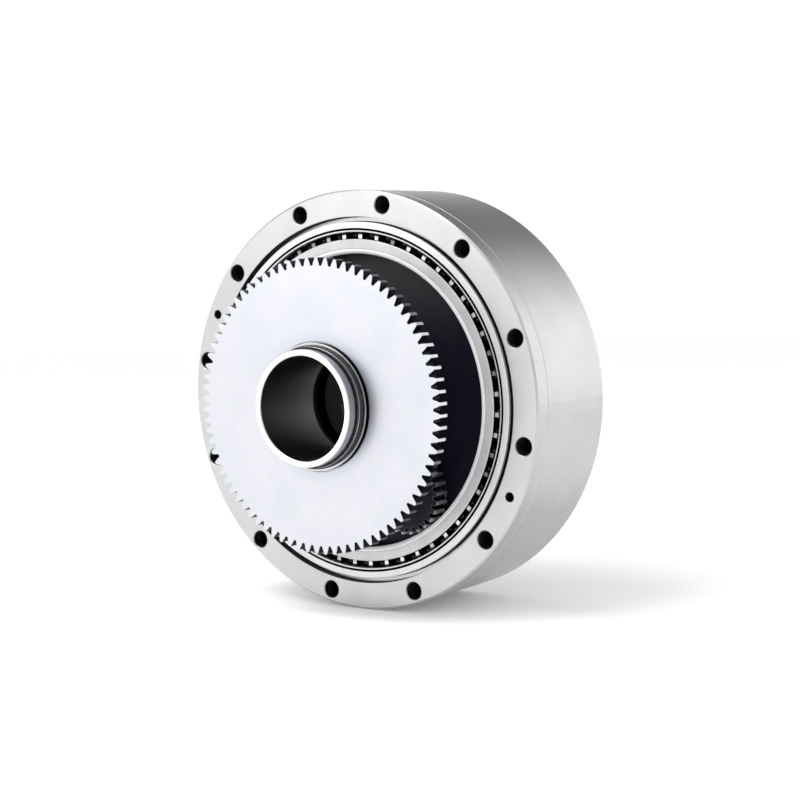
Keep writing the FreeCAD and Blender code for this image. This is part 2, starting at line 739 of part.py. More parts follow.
def makeBearing(side, along, mirrored):
    # Outer ring, inner ring, balls and crown cage of one main bearing.
    middle = dim.bearingWidth / 2
    raceRadius = dim.ballRadius + dim.raceFit

    outerRing = newBody(side + "_bearing_outer_ring")
    turned(outerRing, rectangle(
        outerLand, bearingOuter, nothing, dim.bearingWidth, dim.ringChamfer))
    race(outerRing, ballCircle, middle, raceRadius)
    faceGrooveOuter = faceGrooveInner + dim.faceGrooveWidth
    turned(outerRing, [
        (faceGrooveInner, nothing), (faceGrooveOuter, nothing),
        (faceGrooveOuter, dim.faceGrooveDepth), (faceGrooveInner, dim.faceGrooveDepth),
    ], "face_groove", True)

    innerRing = newBody(side + "_bearing_inner_ring")
    turned(innerRing, rectangle(
        bearingInner, innerLand, nothing, dim.bearingWidth, dim.ringChamfer))
    race(innerRing, ballCircle, middle, raceRadius)

    balls = newBody(side + "_bearing_balls")
    ball = balls.newObject("PartDesign::AdditiveSphere", balls.Label + "_ball")
    ball.AttachmentSupport = (origin(balls, "XY_Plane"), [""])
    ball.MapMode = "FlatFace"
    bindPlace(ball, "AttachmentOffset", ballCircle, middle, nothing)
    bind(ball, "Radius", dim.ballRadius)
    repeated(balls, [ball], dim.ballCount)

    cage = newBody(side + "_bearing_cage_blank")
    cageEnd = dim.cageInset + dim.cageLength
    cageInner = innerLand + dim.cageLift
    cageOuter = outerLand - dim.cageLift
    turned(cage, [
        (cageInner, dim.cageInset), (cageOuter, dim.cageInset),
        (cageOuter, cageEnd), (cageInner, cageEnd),
    ])
    pocketHalf = ballCircle * math.pi / dim.ballCount - dim.cageFinger / 2
    pocketBack = middle + dim.ballRadius + dim.raceFit * 2
    pocketBend = middle + dim.ballRadius / 2
    pocket = radialCutter([
        (dim.cageInset, -pocketHalf), (pocketBend, -pocketHalf),
        (pocketBack, -pocketHalf / 2), (pocketBack, pocketHalf / 2),
        (pocketBend, pocketHalf), (dim.cageInset, pocketHalf),
    ], cageInner, cageOuter)
    crown = cutAway(side + "_bearing_cage", cage, copies(pocket, dim.ballCount))

    pieces = [outerRing, innerRing, balls, crown]
    for piece in pieces:
        place(piece, along, mirrored=mirrored)
    return pieces


# Oil seal

def makeSeal():
    shell = newBody("oil_seal")
    lip = outputRadius + dim.sealFit
    lipWall = lip + dim.sealLipWall
    wall = bearingOuter - dim.sealShell
    lipTop = dim.sealWidth - dim.sealShell
    turned(shell, [
        (lip + dim.sealLipSlope, nothing), (bearingOuter, nothing),
        (bearingOuter, dim.sealWidth), (wall, dim.sealWidth),
        (wall, dim.sealShell), (lipWall + dim.sealLipSlope, dim.sealShell),
        (lipWall, lipTop), (lip + dim.sealLipBevel, lipTop),
        (lip, lipTop - dim.sealLipBevel),
    ])
    place(shell, rearBearingBack + dim.sealInset)

    spring = newBody("seal_garter_spring")
    torus(spring, lip + dim.garterSeat, dim.garterRadius, dim.garterRadius)
    place(spring, rearBearingBack + dim.sealInset + lipTop + dim.springLift)
    return [shell, spring]


# Carrier

def makeHoldFlange():
    body = newBody("hold_flange")
    bearingBack = ringFront - dim.holdInset
    shoulder = bearingInner + dim.shoulderHeight
    turned(body, [
        (cavityRadius, nothing), (bearingInner, nothing),
        (bearingInner, bearingBack), (shoulder, bearingBack),
        (shoulder, dim.holdLength), (holdBore, dim.holdLength),
        (holdBore, dim.cavityDepth), (cavityRadius, dim.cavityDepth),
    ])
    doc.recompute()
    rounded(body, "mouth_rounding", cavityRadius, nothing, dim.cavityRounding)
    rounded(body, "floor_fillet", cavityRadius, dim.cavityDepth, dim.cavityFillet)
    thickness = dim.holdLength - dim.cavityDepth
    drilled(
        body, "crank_bores", rounds(crankPlaces(), dim.cupOuter), dim.cavityDepth, thickness)
    bottom = dim.cavityDepth + dim.threadFloor
    holes = rounds(screwPlaces(), dim.screwRadius + dim.dowelFit)
    holes += rounds(dowelPlaces(), dim.dowelRadius + dim.dowelFit)
    drilled(body, "fastener_holes", holes, bottom, dim.holdLength - bottom)
    place(body, dim.holdInset)
    return body


def rounded(body, name, radius, along, size):
    # A round edge of the body's last feature, rounded off or filled.
    base = body.Tip
    for number, edge in enumerate(base.Shape.Edges, start=1):
        if not isinstance(edge.Curve, Part.Circle):
            continue
        sameRadius = abs(edge.Curve.Radius - radius.value) < samePlace
        if sameRadius and abs(edge.Curve.Center.y - along.value) < samePlace:
            feature = body.newObject("PartDesign::Fillet", body.Label + "_" + name)
            feature.Base = (base, ["Edge" + str(number)])
            bind(feature, "Radius", size)
            doc.recompute()
            return feature
    raise RuntimeError(body.Label + " has no edge for its " + name)


def crankPlaces():
    return polarPlaces(centreDistance, dim.crankAngle, dim.crankCount)


def pillarPlaces(radius, offsets):
    places = []
    for offset in offsets:
        places += polarPlaces(radius, dim.pillarAngle + offset, dim.pillarCount)
    return places


def screwPlaces():
    return pillarPlaces(dim.screwCircle, [-dim.screwSpread, nothing, dim.screwSpread])


def dowelPlaces():
    return pillarPlaces(dim.dowelCircle, [-dim.dowelSpread, dim.dowelSpread])


def makeOutputFlange():
    body = newBody("output_flange")
    plateFront = outputFront - holdBack
    back = outputRear - holdBack
    bearingBack = rearBearingBack - holdBack
    holeCircle = bearingInner - dim.outputBoltInset
    recess = back - dim.outputPilotDepth
    turned(body, [
        (dim.outputBore, plateFront), (bearingInner, plateFront),
        (bearingInner, bearingBack), (outputRadius, bearingBack),
        (outputRadius, back - dim.outputChamfer),
        (outputRadius - dim.outputChamfer, back),
        (dim.outputPilot, back), (dim.outputPilot, recess), (dim.outputBore, recess),
    ])
    sketch = newSketch(body, "pillar_outline", "XZ_Plane")
    for index in range(round(dim.pillarCount.value)):
        middle = dim.pillarAngle + full * index / dim.pillarCount
        low = middle - dim.pillarHalfAngle
        high = middle + dim.pillarHalfAngle
        sector(sketch, dim.pillarInner, pillarOuter, low, high)
    pillars = body.newObject("PartDesign::Pad", "output_flange_pillars")
    pillars.Profile = sketch
    pillars.Reversed = True
    bind(pillars, "Length", plateFront)
    drilled(
        body, "crank_pockets", rounds(crankPlaces(), dim.cupOuter), plateFront,
        rearTaperDepth())
    drilled(
        body, "screw_holes", rounds(screwPlaces(), dim.screwRadius + dim.screwFit), nothing,
        back)
    drilled(
        body, "screw_seats", rounds(screwPlaces(), dim.screwHead + dim.screwSeatFit),
        back - dim.screwSeatDepth, dim.screwSeatDepth)
    inFlange = dim.holdLength - dim.cavityDepth - dim.threadFloor - dim.fastenerRelief
    drilled(
        body, "dowel_holes", rounds(dowelPlaces(), dim.dowelRadius + dim.dowelFit), nothing,
        dim.dowelLength - inFlange + dim.fastenerRelief)
    tapped(
        body, "output_holes", polarPlaces(holeCircle, nothing, dim.outputBoltCount),
        dim.outputTapRadius, dim.outputTapDepth, dim.outputTapMouth, back, True)
    place(body, holdBack)
    return body


def sector(sketch, inner, outer, low, high):
    # Two arcs round the axis joined by two radial lines.
    start = math.radians(low.value)
    end = math.radians(high.value)

    def flat(radius, angle):
        return FreeCAD.Vector(radius * math.cos(angle), radius * math.sin(angle), 0)

    centre = FreeCAD.Vector(0, 0, 0)
    normal = FreeCAD.Vector(0, 0, 1)
    highLine = sketch.addGeometry(Part.LineSegment(flat(inner.value, end), flat(outer.value, end)))
    lowLine = sketch.addGeometry(Part.LineSegment(flat(inner.value, start), flat(outer.value, start)))
    arcs = []
    for radius in (inner, outer):
        whole = Part.Circle(centre, normal, radius.value)
        arcs.append(sketch.addGeometry(Part.ArcOfCircle(whole, start, end)))
        bindValue(sketch, "Radius", arcs[-1], radius)
        sketch.addConstraint(Sketcher.Constraint("Coincident", arcs[-1], 3, -1, 1))
    for line, arcEnd in ((lowLine, 1), (highLine, 2)):
        sketch.addConstraint(Sketcher.Constraint("Coincident", arcs[0], arcEnd, line, 1))
        sketch.addConstraint(Sketcher.Constraint("Coincident", arcs[1], arcEnd, line, 2))
        sketch.addConstraint(Sketcher.Constraint("PointOnObject", -1, 1, line))
    bindValue(sketch, "Angle", lowLine, low)
    bindValue(sketch, "Angle", highLine, high)


def makeScrews():
    body = newBody("carrier_bolts")
    boss(
        body, "shanks", rounds(screwPlaces(), dim.screwRadius), nothing, screwLength)
    boss(
        body, "heads", rounds(screwPlaces(), dim.screwHead), screwLength,
        dim.screwHeadHeight)
    end = screwLength + dim.screwHeadHeight
    sketch = newSketch(body, "socket_outline", "XZ_Plane", end - dim.screwSocketDepth)
    sides = 6
    for across, up in screwPlaces():
        corners = []
        for side in range(sides):
            angle = math.radians(full * side / sides)
            corners.append((
                across + dim.screwSocket * math.cos(angle),
                up + dim.screwSocket * math.sin(angle)))
        outline(sketch, corners)
    sockets = body.newObject("PartDesign::Pocket", "carrier_bolts_sockets")
    sockets.Profile = sketch
    bind(sockets, "Length", dim.screwSocketDepth)
    place(body, threadStart + dim.screwEndGap)
    return body


def makeDowels():
    body = newBody("carrier_dowels")
    boss(body, "pins", rounds(dowelPlaces(), dim.dowelRadius), nothing, dim.dowelLength)
    place(body, threadStart + dim.fastenerRelief)
    return body


# Centre gear with its snap ring, O-ring and needle bearing

def makeSunShaft():
    # The hollow shaft with its hub, the seat of the large gear and the sun gear.
    hub = newBody("sun_shaft_blank")
    rimEdge = hubRadius - dim.hubChamfer
    land = hubRadius + dim.hubLandHeight
    lip = hubRadius + dim.lipHeight
    undercut = hubRadius + dim.undercutHeight
    undercutBack = gearFace + dim.undercutReach
    neck = seatRadius + dim.neckHeight
    sunStart = dim.hubFront + sunFront
    sunEnd = sunStart + dim.sunWidth
    neckBack = sunStart - dim.neckGap
    end = sunEnd + dim.journalLength
    reliefEnd = dim.reliefStart + dim.reliefWidth
    turned(hub, [
        (shaftBore + dim.hubChamfer, nothing), (rimEdge, nothing),
        (hubRadius, dim.hubChamfer), (hubRadius, dim.hubRim),
        (snapGroove, dim.hubRim), (snapGroove, snapBack),
        (land, snapBack), (land, landBack),
        (sealGroove, landBack), (sealGroove, sealBack),
        (lip, sealBack), (lip, lipBack),
        (undercut, lipBack), (undercut, undercutBack),
        (seatRadius, undercutBack), (seatRadius, seatBack),
        (neck, seatBack), (neck, neckBack),
        (sunRoot, neckBack), (sunRoot, sunEnd),
        (journalRadius, sunEnd), (journalRadius, end),
        (shaftBore, end), (shaftBore, reliefEnd),
        (shaftRelief, reliefEnd), (shaftRelief, dim.reliefStart),
        (shaftBore, dim.reliefStart), (shaftBore, dim.hubChamfer),
    ])
    sunWire = gearWire(
        round(dim.sunTeeth.value), stageModule.value, 0.0,
        dim.toothThinning.value, math.radians(dim.crankAngle.value))
    inner = (sunRoot.value + shaftRelief.value) / 2
    sun = prism(sunWire, [roundWire(0, 0, inner)], sunStart.value, dim.sunWidth.value)
    shaft = fused("sun_shaft", [hub, shaped("sun_shaft_teeth", sun)])
    place(shaft, -dim.hubFront)
    return shaft


def makeCentreGear():
    # The large gear, shrunk on its seat against the shaft's neck.
    teeth = round(dim.inputTeeth.value)
    outer = gearWire(
        teeth, dim.inputModule.value, dim.inputShift.value, 0.0, math.pi / teeth)
    bore = roundWire(0, 0, (seatRadius + dim.seatFit).value)
    gear = shaped("centre_gear", prism(outer, [bore], 0.0, dim.inputWidth.value))
    place(gear, gearFace - dim.hubFront)
    return gear


def openRing(label, inner, outer, width, opening):
    # A snap ring: a flat ring with a gap at its left.
    body = newBody(label)
    turned(body, [(inner, nothing), (outer, nothing), (outer, width), (inner, width)])
    sketch = newSketch(body, "opening_outline", "XZ_Plane")
    outline(sketch, [
        (-outer * 2, -opening / 2), (-inner / 2, -opening / 2),
        (-inner / 2, opening / 2), (-outer * 2, opening / 2),
    ])
    gap = body.newObject("PartDesign::Pocket", label + "_opening")
    gap.Profile = sketch
    bind(gap, "Length", width)
    return body


def makeHubRings():
    snapInner = snapGroove + dim.snapRingFit
    snapRing = openRing(
        "hub_snap_ring", snapInner, snapInner + dim.snapRingWall,
        dim.snapGrooveWidth - dim.snapRingFit * 2, dim.snapRingOpening)
    place(snapRing, dim.hubRim + dim.snapRingFit - dim.hubFront)
    sealRing = newBody("hub_o_ring")
    sealRadius = sealGroove + dim.sealRingWire + dim.snapRingFit / 2
    torus(sealRing, sealRadius, dim.sealGrooveWidth / 2, dim.sealRingWire)
    place(sealRing, landBack - dim.hubFront)
    return [snapRing, sealRing]


def torus(body, radius, along, wire):
    sketch = newSketch(body, "section", "XY_Plane")
    circle(sketch, radius, along, wire)
    feature = body.newObject("PartDesign::Revolution", body.Label + "_turned")
    feature.Profile = sketch
    feature.ReferenceAxis = (sketch, ["V_Axis"])
    feature.Angle = full
    return feature


def makeNeedles(label, circleRadius, radius, length, count, start):
    # Parallel needles standing round the axis.
    body = newBody(label)
    needle = boss(body, "needle", [(circleRadius, nothing, radius)], start, length)
    repeated(body, [needle], count)
    return body


def makeCage(label, corners, windowStart, windowEnd, windowHalf, count):
    # A turned cage with one window for each roller.
    blank = newBody(label + "_blank")
    turned(blank, corners)
    inner = min(corner[0].value for corner in corners)
    outer = max(corner[0].value for corner in corners)
    window = radialCutter([
        (windowStart, -windowHalf), (windowEnd, -windowHalf),
        (windowEnd, windowHalf), (windowStart, windowHalf),
    ], sized(inner), sized(outer))
    return cutAway(label, blank, copies(window, count))


def makeCentreBearing():
    windowStart = dim.needleCageRim
    windowEnd = windowStart + dim.centreNeedleLength + dim.windowFit * 2
    cageInner = centreNeedleCircle - dim.centreCageWall
    cageOuter = centreNeedleCircle + dim.centreCageWall
    cageEnd = windowEnd + dim.needleCageRim
    needles = makeNeedles(
        "centre_needles", centreNeedleCircle, dim.centreNeedle, dim.centreNeedleLength,
        dim.centreNeedleCount, windowStart + dim.windowFit)
    cage = makeCage("centre_needle_cage", [
        (cageInner, nothing), (cageOuter, nothing), (cageOuter, cageEnd), (cageInner, cageEnd),
    ], windowStart, windowEnd, dim.centreNeedle + dim.windowFit, dim.centreNeedleCount)
    start = (holdFloor + holdBack - cageEnd) / 2
    for piece in (needles, cage):
        place(piece, start)
    return [needles, cage]


# Spur gears and crankshafts

def crankPlace(index):
    return crankPlaces()[index]


def throwOffset():
    return polar(dim.eccentricity, dim.throwAngle)


def rearTaperDepth():
    return dim.taperGap + dim.taperWidth


def makeSpurGear(index):
    teeth = round(dim.spurTeeth.value)
    facing = math.radians(dim.crankAngle.value) + math.pi / teeth
    outer = gearWire(teeth, stageModule.value, 0.0, dim.toothThinning.value, facing)
    tip = dim.splineTip.value + dim.splineFit.value
    bore = splineWire(round(dim.splineTeeth.value), tip, tip - dim.splineDepth.value)
    gear = shaped("spur_gear_" + str(index + 1), prism(outer, [bore], 0.0, dim.spurWidth.value))
    place(gear, dim.spurFront, *crankPlace(index))
    return gear


def makeCrankshaft(index):
    label = "crankshaft_" + str(index + 1)
    front = dim.spurFront - dim.splineProud
    journalStart = holdFloor - front
    shoulderStart = holdBack - front
    frontCam = frontDisc - dim.camGap - front
    rearCam = frontDisc + discWidth + dim.discGap / 2 - front
    rearShoulder = rearDisc + discWidth + dim.camGap - front
    rearJournal = outputFront + dim.taperGap - front
    end = rearJournal + dim.taperWidth - dim.taperGap

    tip = dim.splineTip.value
    root = tip - dim.splineDepth.value
    spline = prism(
        splineWire(round(dim.splineTeeth.value), tip, root), [], 0.0, journalStart.value)
    ringStart = (dim.splineProud - dim.shaftRingWidth - dim.snapRingFit * 2).value
    ringGroove = prism(
        roundWire(0, 0, tip * 2), [roundWire(0, 0, root)], ringStart,
        (dim.shaftRingWidth + dim.snapRingFit * 2).value)
    splineEnd = shaped(label + "_spline", spline.cut(ringGroove))

    shaft = newBody(label + "_shaft")
    across, up = throwOffset()
    steps = [
        ("front_journal", nothing, nothing, dim.crankJournal, journalStart, shoulderStart),
        ("front_shoulder", nothing, nothing, dim.crankShoulder, shoulderStart, frontCam),
        ("front_cam", across, up, dim.crankCam, frontCam, rearCam),
        ("rear_cam", -across, -up, dim.crankCam, rearCam, rearShoulder),
        ("rear_shoulder", nothing, nothing, dim.crankShoulder, rearShoulder, rearJournal),
        ("rear_journal", nothing, nothing, dim.crankJournal, rearJournal, end),
    ]
    for name, x, z, radius, start, stop in steps:
        boss(shaft, name, [(x, z, radius)], start, stop - start)
    crankshaft = fused(label, [splineEnd, shaft])
    place(crankshaft, front, *crankPlace(index))

    ringInner = dim.splineTip - dim.splineDepth + dim.snapRingFit
    ring = openRing(
        "gear_snap_ring_" + str(index + 1), ringInner, ringInner + dim.shaftRingWall,
        dim.shaftRingWidth, dim.shaftRingOpening)
    place(ring, dim.spurFront - dim.shaftRingWidth - dim.snapRingFit, *crankPlace(index))
    return [crankshaft, ring]


# Tapered roller bearings of the crankshafts, wide end first

def makeTaperBearing(side, index, along, mirrored):
    number = "_" + str(index + 1)
    width = dim.taperWidth
    middle = width / 2
    slope = dim.taperAxis
    flare = dim.taperFlare
    lift = dim.taperRoller * sinOf(slope)
    reach = dim.taperRoller * cosOf(slope)

    def cupRadius(y):
        start = dim.taperCircle + reach + dim.raceFit / cosOf(slope + flare)
        return start + (middle - y + lift) * tanOf(slope + flare)

    def coneRadius(y):
        start = dim.taperCircle - reach - dim.raceFit / cosOf(slope - flare)
        return start + (middle - y - lift) * tanOf(slope - flare)

    def axisRadius(y):
        return dim.taperCircle + (middle - y) * tanOf(slope)

    cup = newBody(side + "_cup" + number)
    turned(cup, [
        (cupRadius(nothing), nothing), (dim.cupOuter - dim.taperGap, nothing),
        (dim.cupOuter, dim.taperGap), (dim.cupOuter, width - dim.taperGap),
        (dim.cupOuter - dim.taperGap, width), (cupRadius(width), width),
    ])

    halfLength = dim.taperLength / 2 * cosOf(slope)
    wideEnd = middle - halfLength - lift - dim.windowFit
    narrowEnd = middle + halfLength + lift + dim.windowFit
    cone = newBody(side + "_cone" + number)
    turned(cone, [
        (dim.crankJournal, nothing), (coneRadius(nothing) + dim.wideRib, nothing),
        (coneRadius(nothing) + dim.wideRib, wideEnd), (coneRadius(wideEnd), wideEnd),
        (coneRadius(narrowEnd), narrowEnd), (coneRadius(narrowEnd) + dim.narrowRib, narrowEnd),
        (coneRadius(narrowEnd) + dim.narrowRib, width), (dim.crankJournal, width),
    ])

    wideRadius = dim.taperRoller + dim.taperLength / 2 * tanOf(flare)
    narrowRadius = dim.taperRoller - dim.taperLength / 2 * tanOf(flare)
    angle = math.radians(slope.value)
    half = dim.taperLength.value / 2
    wideCentre = FreeCAD.Vector(
        dim.taperCircle.value + half * math.sin(angle), middle.value - half * math.cos(angle), 0)
    direction = FreeCAD.Vector(-math.sin(angle), math.cos(angle), 0)
    roller = Part.makeCone(
        wideRadius.value, narrowRadius.value, dim.taperLength.value, wideCentre, direction)
    rollers = shaped(side + "_rollers" + number, copies(roller, dim.taperCount))

    cage = makeCage(side + "_roller_cage" + number, [
        (axisRadius(dim.taperGap) - dim.taperCageWall, dim.taperGap),
        (axisRadius(dim.taperGap) + dim.taperCageWall, dim.taperGap),
        (axisRadius(width - dim.taperGap) + dim.taperCageWall, width - dim.taperGap),
        (axisRadius(width - dim.taperGap) - dim.taperCageWall, width - dim.taperGap),
    ], wideEnd, narrowEnd, wideRadius + dim.windowFit, dim.taperCount)

    pieces = [cup, cone, rollers, cage]
    for piece in pieces:
        across, up = crankPlace(index)
        place(piece, along, across, up, mirrored)
    return pieces


# Cycloid discs and their needle bearings

def makeDisc(side, along, sign):
    throwDirection = math.radians(dim.throwAngle.value)
    if sign < 0:
        throwDirection = throwDirection + math.pi
    clearance = dim.eccentricity.value + dim.windowGap.value
    inner = dim.pillarInner.value - clearance
    outer = pillarOuter.value + clearance
    halfAngle = math.radians(dim.pillarHalfAngle.value) + math.asin(clearance / inner)
    holes = [roundWire(0, 0, discBore.value)]
    pillars = round(dim.pillarCount.value)
    for pillar in range(pillars):
        middle = math.radians(dim.pillarAngle.value) + 2 * math.pi * pillar / pillars
        holes.append(windowWire(middle, halfAngle, inner, outer))
    for index in range(round(dim.crankCount.value)):
        across, up = crankPlace(index)
        holes.append(roundWire(across.value, up.value, discCrankBore.value))
    disc = shaped("cycloid_disc_" + side, prism(
        lobeWire(throwDirection), holes, 0.0, discWidth.value))
    across, up = throwOffset()
    place(disc, along, across * sign, up * sign)
    return disc


def makeDiscBearing(side, index, along, sign):
    number = "_" + str(index + 1)
    windowStart = dim.needleCageRim
    windowEnd = discWidth - dim.needleCageRim
    cageInner = needleCircle - dim.needleCageWall
    cageOuter = needleCircle + dim.needleCageWall
    needles = makeNeedles(
        side + "_disc_needles" + number, needleCircle, dim.needleRadius,
        windowEnd - windowStart - dim.windowFit * 2, dim.needleCount,
        windowStart + dim.windowFit)
    cage = makeCage(side + "_disc_cage" + number, [
        (cageInner, nothing), (cageOuter, nothing),
        (cageOuter, discWidth), (cageInner, discWidth),
    ], windowStart, windowEnd, dim.needleRadius + dim.windowFit, dim.needleCount)
    across, up = crankPlace(index)
    throwAcross, throwUp = throwOffset()
    for piece in (needles, cage):
        place(piece, along, across + throwAcross * sign, up + throwUp * sign)
    return [needles, cage]


def buildPieces():
    pieces = [makeCase(), makeRingPins()]
    pieces += makeBearing("front", frontBearing, False)
    pieces += makeBearing("rear", rearBearingBack, True)
    pieces += makeSeal()
    pieces += [makeHoldFlange(), makeOutputFlange(), makeScrews(), makeDowels()]
    pieces += [makeCentreGear(), makeSunShaft()]
    pieces += makeHubRings()
    pieces += makeCentreBearing()
    pieces += [makeDisc("front", frontDisc, 1), makeDisc("rear", rearDisc, -1)]
    rearTaper = outputFront + dim.taperGap + dim.taperWidth
    for index in range(round(dim.crankCount.value)):
        pieces += [makeSpurGear(index)]
        pieces += makeCrankshaft(index)
        pieces += makeTaperBearing("front", index, holdBack - dim.taperWidth, False)
        pieces += makeTaperBearing("rear", index, rearTaper, True)
        pieces += makeDiscBearing("front", index, frontDisc, 1)
        pieces += makeDiscBearing("rear", index, rearDisc, -1)
    return pieces


def checkDocument(pieces):
    for feature in doc.Objects:
        for state in feature.State:
            if state in ("Invalid", "Error"):
                raise RuntimeError(feature.Name + " is " + state)
    for piece in pieces:
        if piece.Shape.isNull() or not piece.Shape.isValid():
            raise RuntimeError(piece.Label + " has no sound shape")


pieces = buildPieces()
doc.recompute()
checkDocument(pieces)
for piece in pieces:
    piece.Shape.exportStep("parts/" + piece.Label + ".step")
print(len(pieces), "pieces written")
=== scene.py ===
import math

import bmesh
import bpy
from mathutils import Matrix, Vector


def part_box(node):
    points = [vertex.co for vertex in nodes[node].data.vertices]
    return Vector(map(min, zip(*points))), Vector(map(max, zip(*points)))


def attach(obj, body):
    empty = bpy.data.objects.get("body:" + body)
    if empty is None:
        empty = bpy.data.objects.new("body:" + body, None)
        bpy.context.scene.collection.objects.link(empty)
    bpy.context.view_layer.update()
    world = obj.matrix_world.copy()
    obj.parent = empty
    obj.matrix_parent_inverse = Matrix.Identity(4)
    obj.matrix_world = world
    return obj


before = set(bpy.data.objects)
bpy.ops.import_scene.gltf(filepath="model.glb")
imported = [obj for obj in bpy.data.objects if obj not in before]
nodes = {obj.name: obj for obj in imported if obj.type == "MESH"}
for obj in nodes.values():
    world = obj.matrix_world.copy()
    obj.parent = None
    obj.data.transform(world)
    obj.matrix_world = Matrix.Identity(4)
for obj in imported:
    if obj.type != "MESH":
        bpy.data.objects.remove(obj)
scene = bpy.context.scene
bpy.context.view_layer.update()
print("frame loaded:", len(nodes), "CAD nodes")

# The reducer turns about Y, its input side faces -Y, and +Z is up. Finishes and threads are
# measured in millimetres from the axis and from the case's front face, the studio in metres.
millimetre = 0.001
wholeTurn = 2 * math.pi


# Camera: stands in front, to the right and a little above, as a product photographer would.
view = {
    "azimuth": 34.99,
    "elevation": 4.64,
    "roll": -1.75,
    "distance": 0.751,
    "target": (0.02299, 0.0, 0.00097),
    "focal": 80.339,
    "sensor": 36,
    "clip": (0.01, 20),
}


def makeCamera(settings):
    azimuth, elevation, roll = (math.radians(settings[key]) for key in ("azimuth", "elevation", "roll"))
    level = Vector((math.sin(azimuth), -math.cos(azimuth), 0))
    back = level * math.cos(elevation) + Vector((0, 0, math.sin(elevation)))
    right = (-back).cross(Vector((0, 0, 1))).normalized()
    up = right.cross(-back)
    leanRight = right * math.cos(roll) + up * math.sin(roll)
    leanUp = up * math.cos(roll) - right * math.sin(roll)
    data = bpy.data.cameras.new("productCamera")
    data.lens = settings["focal"]
    data.sensor_width = settings["sensor"]
    data.clip_start, data.clip_end = settings["clip"]
    camera = bpy.data.objects.new("productCamera", data)
    turn = Matrix((leanRight, leanUp, back)).transposed().to_4x4()
    camera.matrix_world = Matrix.Translation(Vector(settings["target"]) + back * settings["distance"]) @ turn
    scene.collection.objects.link(camera)
    scene.camera = camera


makeCamera(view)
print("camera placed")


# Node graphs written as sums: a Wire is one output socket of a material.
class Wire:
    def __init__(self, graph, socket):
        self.graph = graph
        self.socket = socket

    def math(self, operation, *others):
        return self.graph.add("ShaderNodeMath", {"operation": operation}, [self, *others])

    def __add__(self, other):
        return self.math("ADD", other)

    def __sub__(self, other):
        return self.math("SUBTRACT", other)

    def __mul__(self, other):
        return self.math("MULTIPLY", other)

    def __truediv__(self, other):
        return self.math("DIVIDE", other)

    def __pow__(self, other):
        return self.math("POWER", other)

    __radd__ = __add__
    __rmul__ = __mul__

    def __rsub__(self, other):
        return self.graph.add("ShaderNodeMath", {"operation": "SUBTRACT"}, [other, self])

    def rise(self, low, high):
        # 0 below low, 1 above high, a soft step between
        settings = {"interpolation_type": "SMOOTHSTEP", "clamp": True}
        sockets = {"Value": self, "From Min": low, "From Max": high}
        return self.graph.add("ShaderNodeMapRange", settings, sockets, "Result")

    def between(self, low, high, soft):
        return self.rise(low - soft, low + soft) * (1 - self.rise(high - soft, high + soft))


def grey(level):
    return (level, level, level)


def opaque(colour):
    # a plain colour gets its alpha, a wired one has it
    return colour if isinstance(colour, Wire) else (*colour, 1)


# where a Mix node of colours keeps its sockets
mixFactor, mixFirst, mixSecond, mixResult = 0, 6, 7, 2


class Graph:
    def __init__(self, tree):
        self.tree = tree
        tree.nodes.clear()

    def add(self, kind, settings=None, inputs=None, output=0):
        node = self.tree.nodes.new(kind)
        for name, value in (settings or {}).items():
            setattr(node, name, value)
        pairs = enumerate(inputs) if isinstance(inputs, (list, tuple)) else (inputs or {}).items()
        for name, value in pairs:
            if isinstance(value, Wire):
                self.tree.links.new(value.socket, node.inputs[name])
            else:
                node.inputs[name].default_value = value
        return Wire(self, node.outputs[output]) if node.outputs else node

    def parts(self, vector):
        # the three numbers of a place or a direction
        first = self.add("ShaderNodeSeparateXYZ", {}, [vector])
        return [Wire(self, output) for output in first.socket.node.outputs]

    def mix(self, factor, first, second):
        sockets = {mixFactor: factor, mixFirst: opaque(first), mixSecond: opaque(second)}
        return self.add("ShaderNodeMix", {"data_type": "RGBA"}, sockets, mixResult)


class Finish(Graph):
    # One surface, measured in millimetres from the axis of its own piece.
    def __init__(self, name, centre=(0, 0)):
        self.material = bpy.data.materials.new(name)
        self.material.use_nodes = True
        super().__init__(self.material.node_tree)
        objectPlace = self.add("ShaderNodeTexCoord", output="Object")
        move = {"Vector": objectPlace, "Location": (-centre[0], 0, -centre[1]), "Scale": [1 / millimetre] * 3}
        self.place = self.add("ShaderNodeMapping", {}, move)
        self.across, self.along, self.up = self.parts(self.place)
        self.radius = (self.across * self.across + self.up * self.up) ** 0.5

    def combined(self, x, y, z):
        return self.add("ShaderNodeCombineXYZ", {}, [x, y, z])

    def noise(self, place, scale, detail, roughness):
        sockets = {"Vector": place, "Scale": scale, "Detail": detail, "Roughness": roughness}
        return self.add("ShaderNodeTexNoise", {}, sockets)

    def inside(self, step):
        return 1 - self.radius.rise(*step)

    def outside(self, step):
        return self.radius.rise(*step)

    def before(self, step):
        return 1 - self.along.rise(*step)

    def behind(self, step):
        return self.along.rise(*step)

    def walls(self, step=(0.4, 0.6)):
        # 1 on walls round the axis, 0 on flat faces square to it
        normal = self.add("ShaderNodeTexCoord", output="Normal")
        return 1 - self.parts(normal)[1].math("ABSOLUTE").rise(*step)

    def edges(self, size, samples):
        # the normal with edges rounded, and how sharply the surface turns there
        rounded = self.add("ShaderNodeBevel", {"samples": samples}, {"Radius": size * millimetre})
        flat = self.add("ShaderNodeNewGeometry", output="Normal")
        likeness = self.add("ShaderNodeVectorMath", {"operation": "DOT_PRODUCT"}, [rounded, flat], "Value")
        return rounded, 1 - likeness

    def closed(self, sockets):
        surface = self.add("ShaderNodeBsdfPrincipled", {}, sockets)
        self.add("ShaderNodeOutputMaterial", {}, {"Surface": surface})
        return self.material


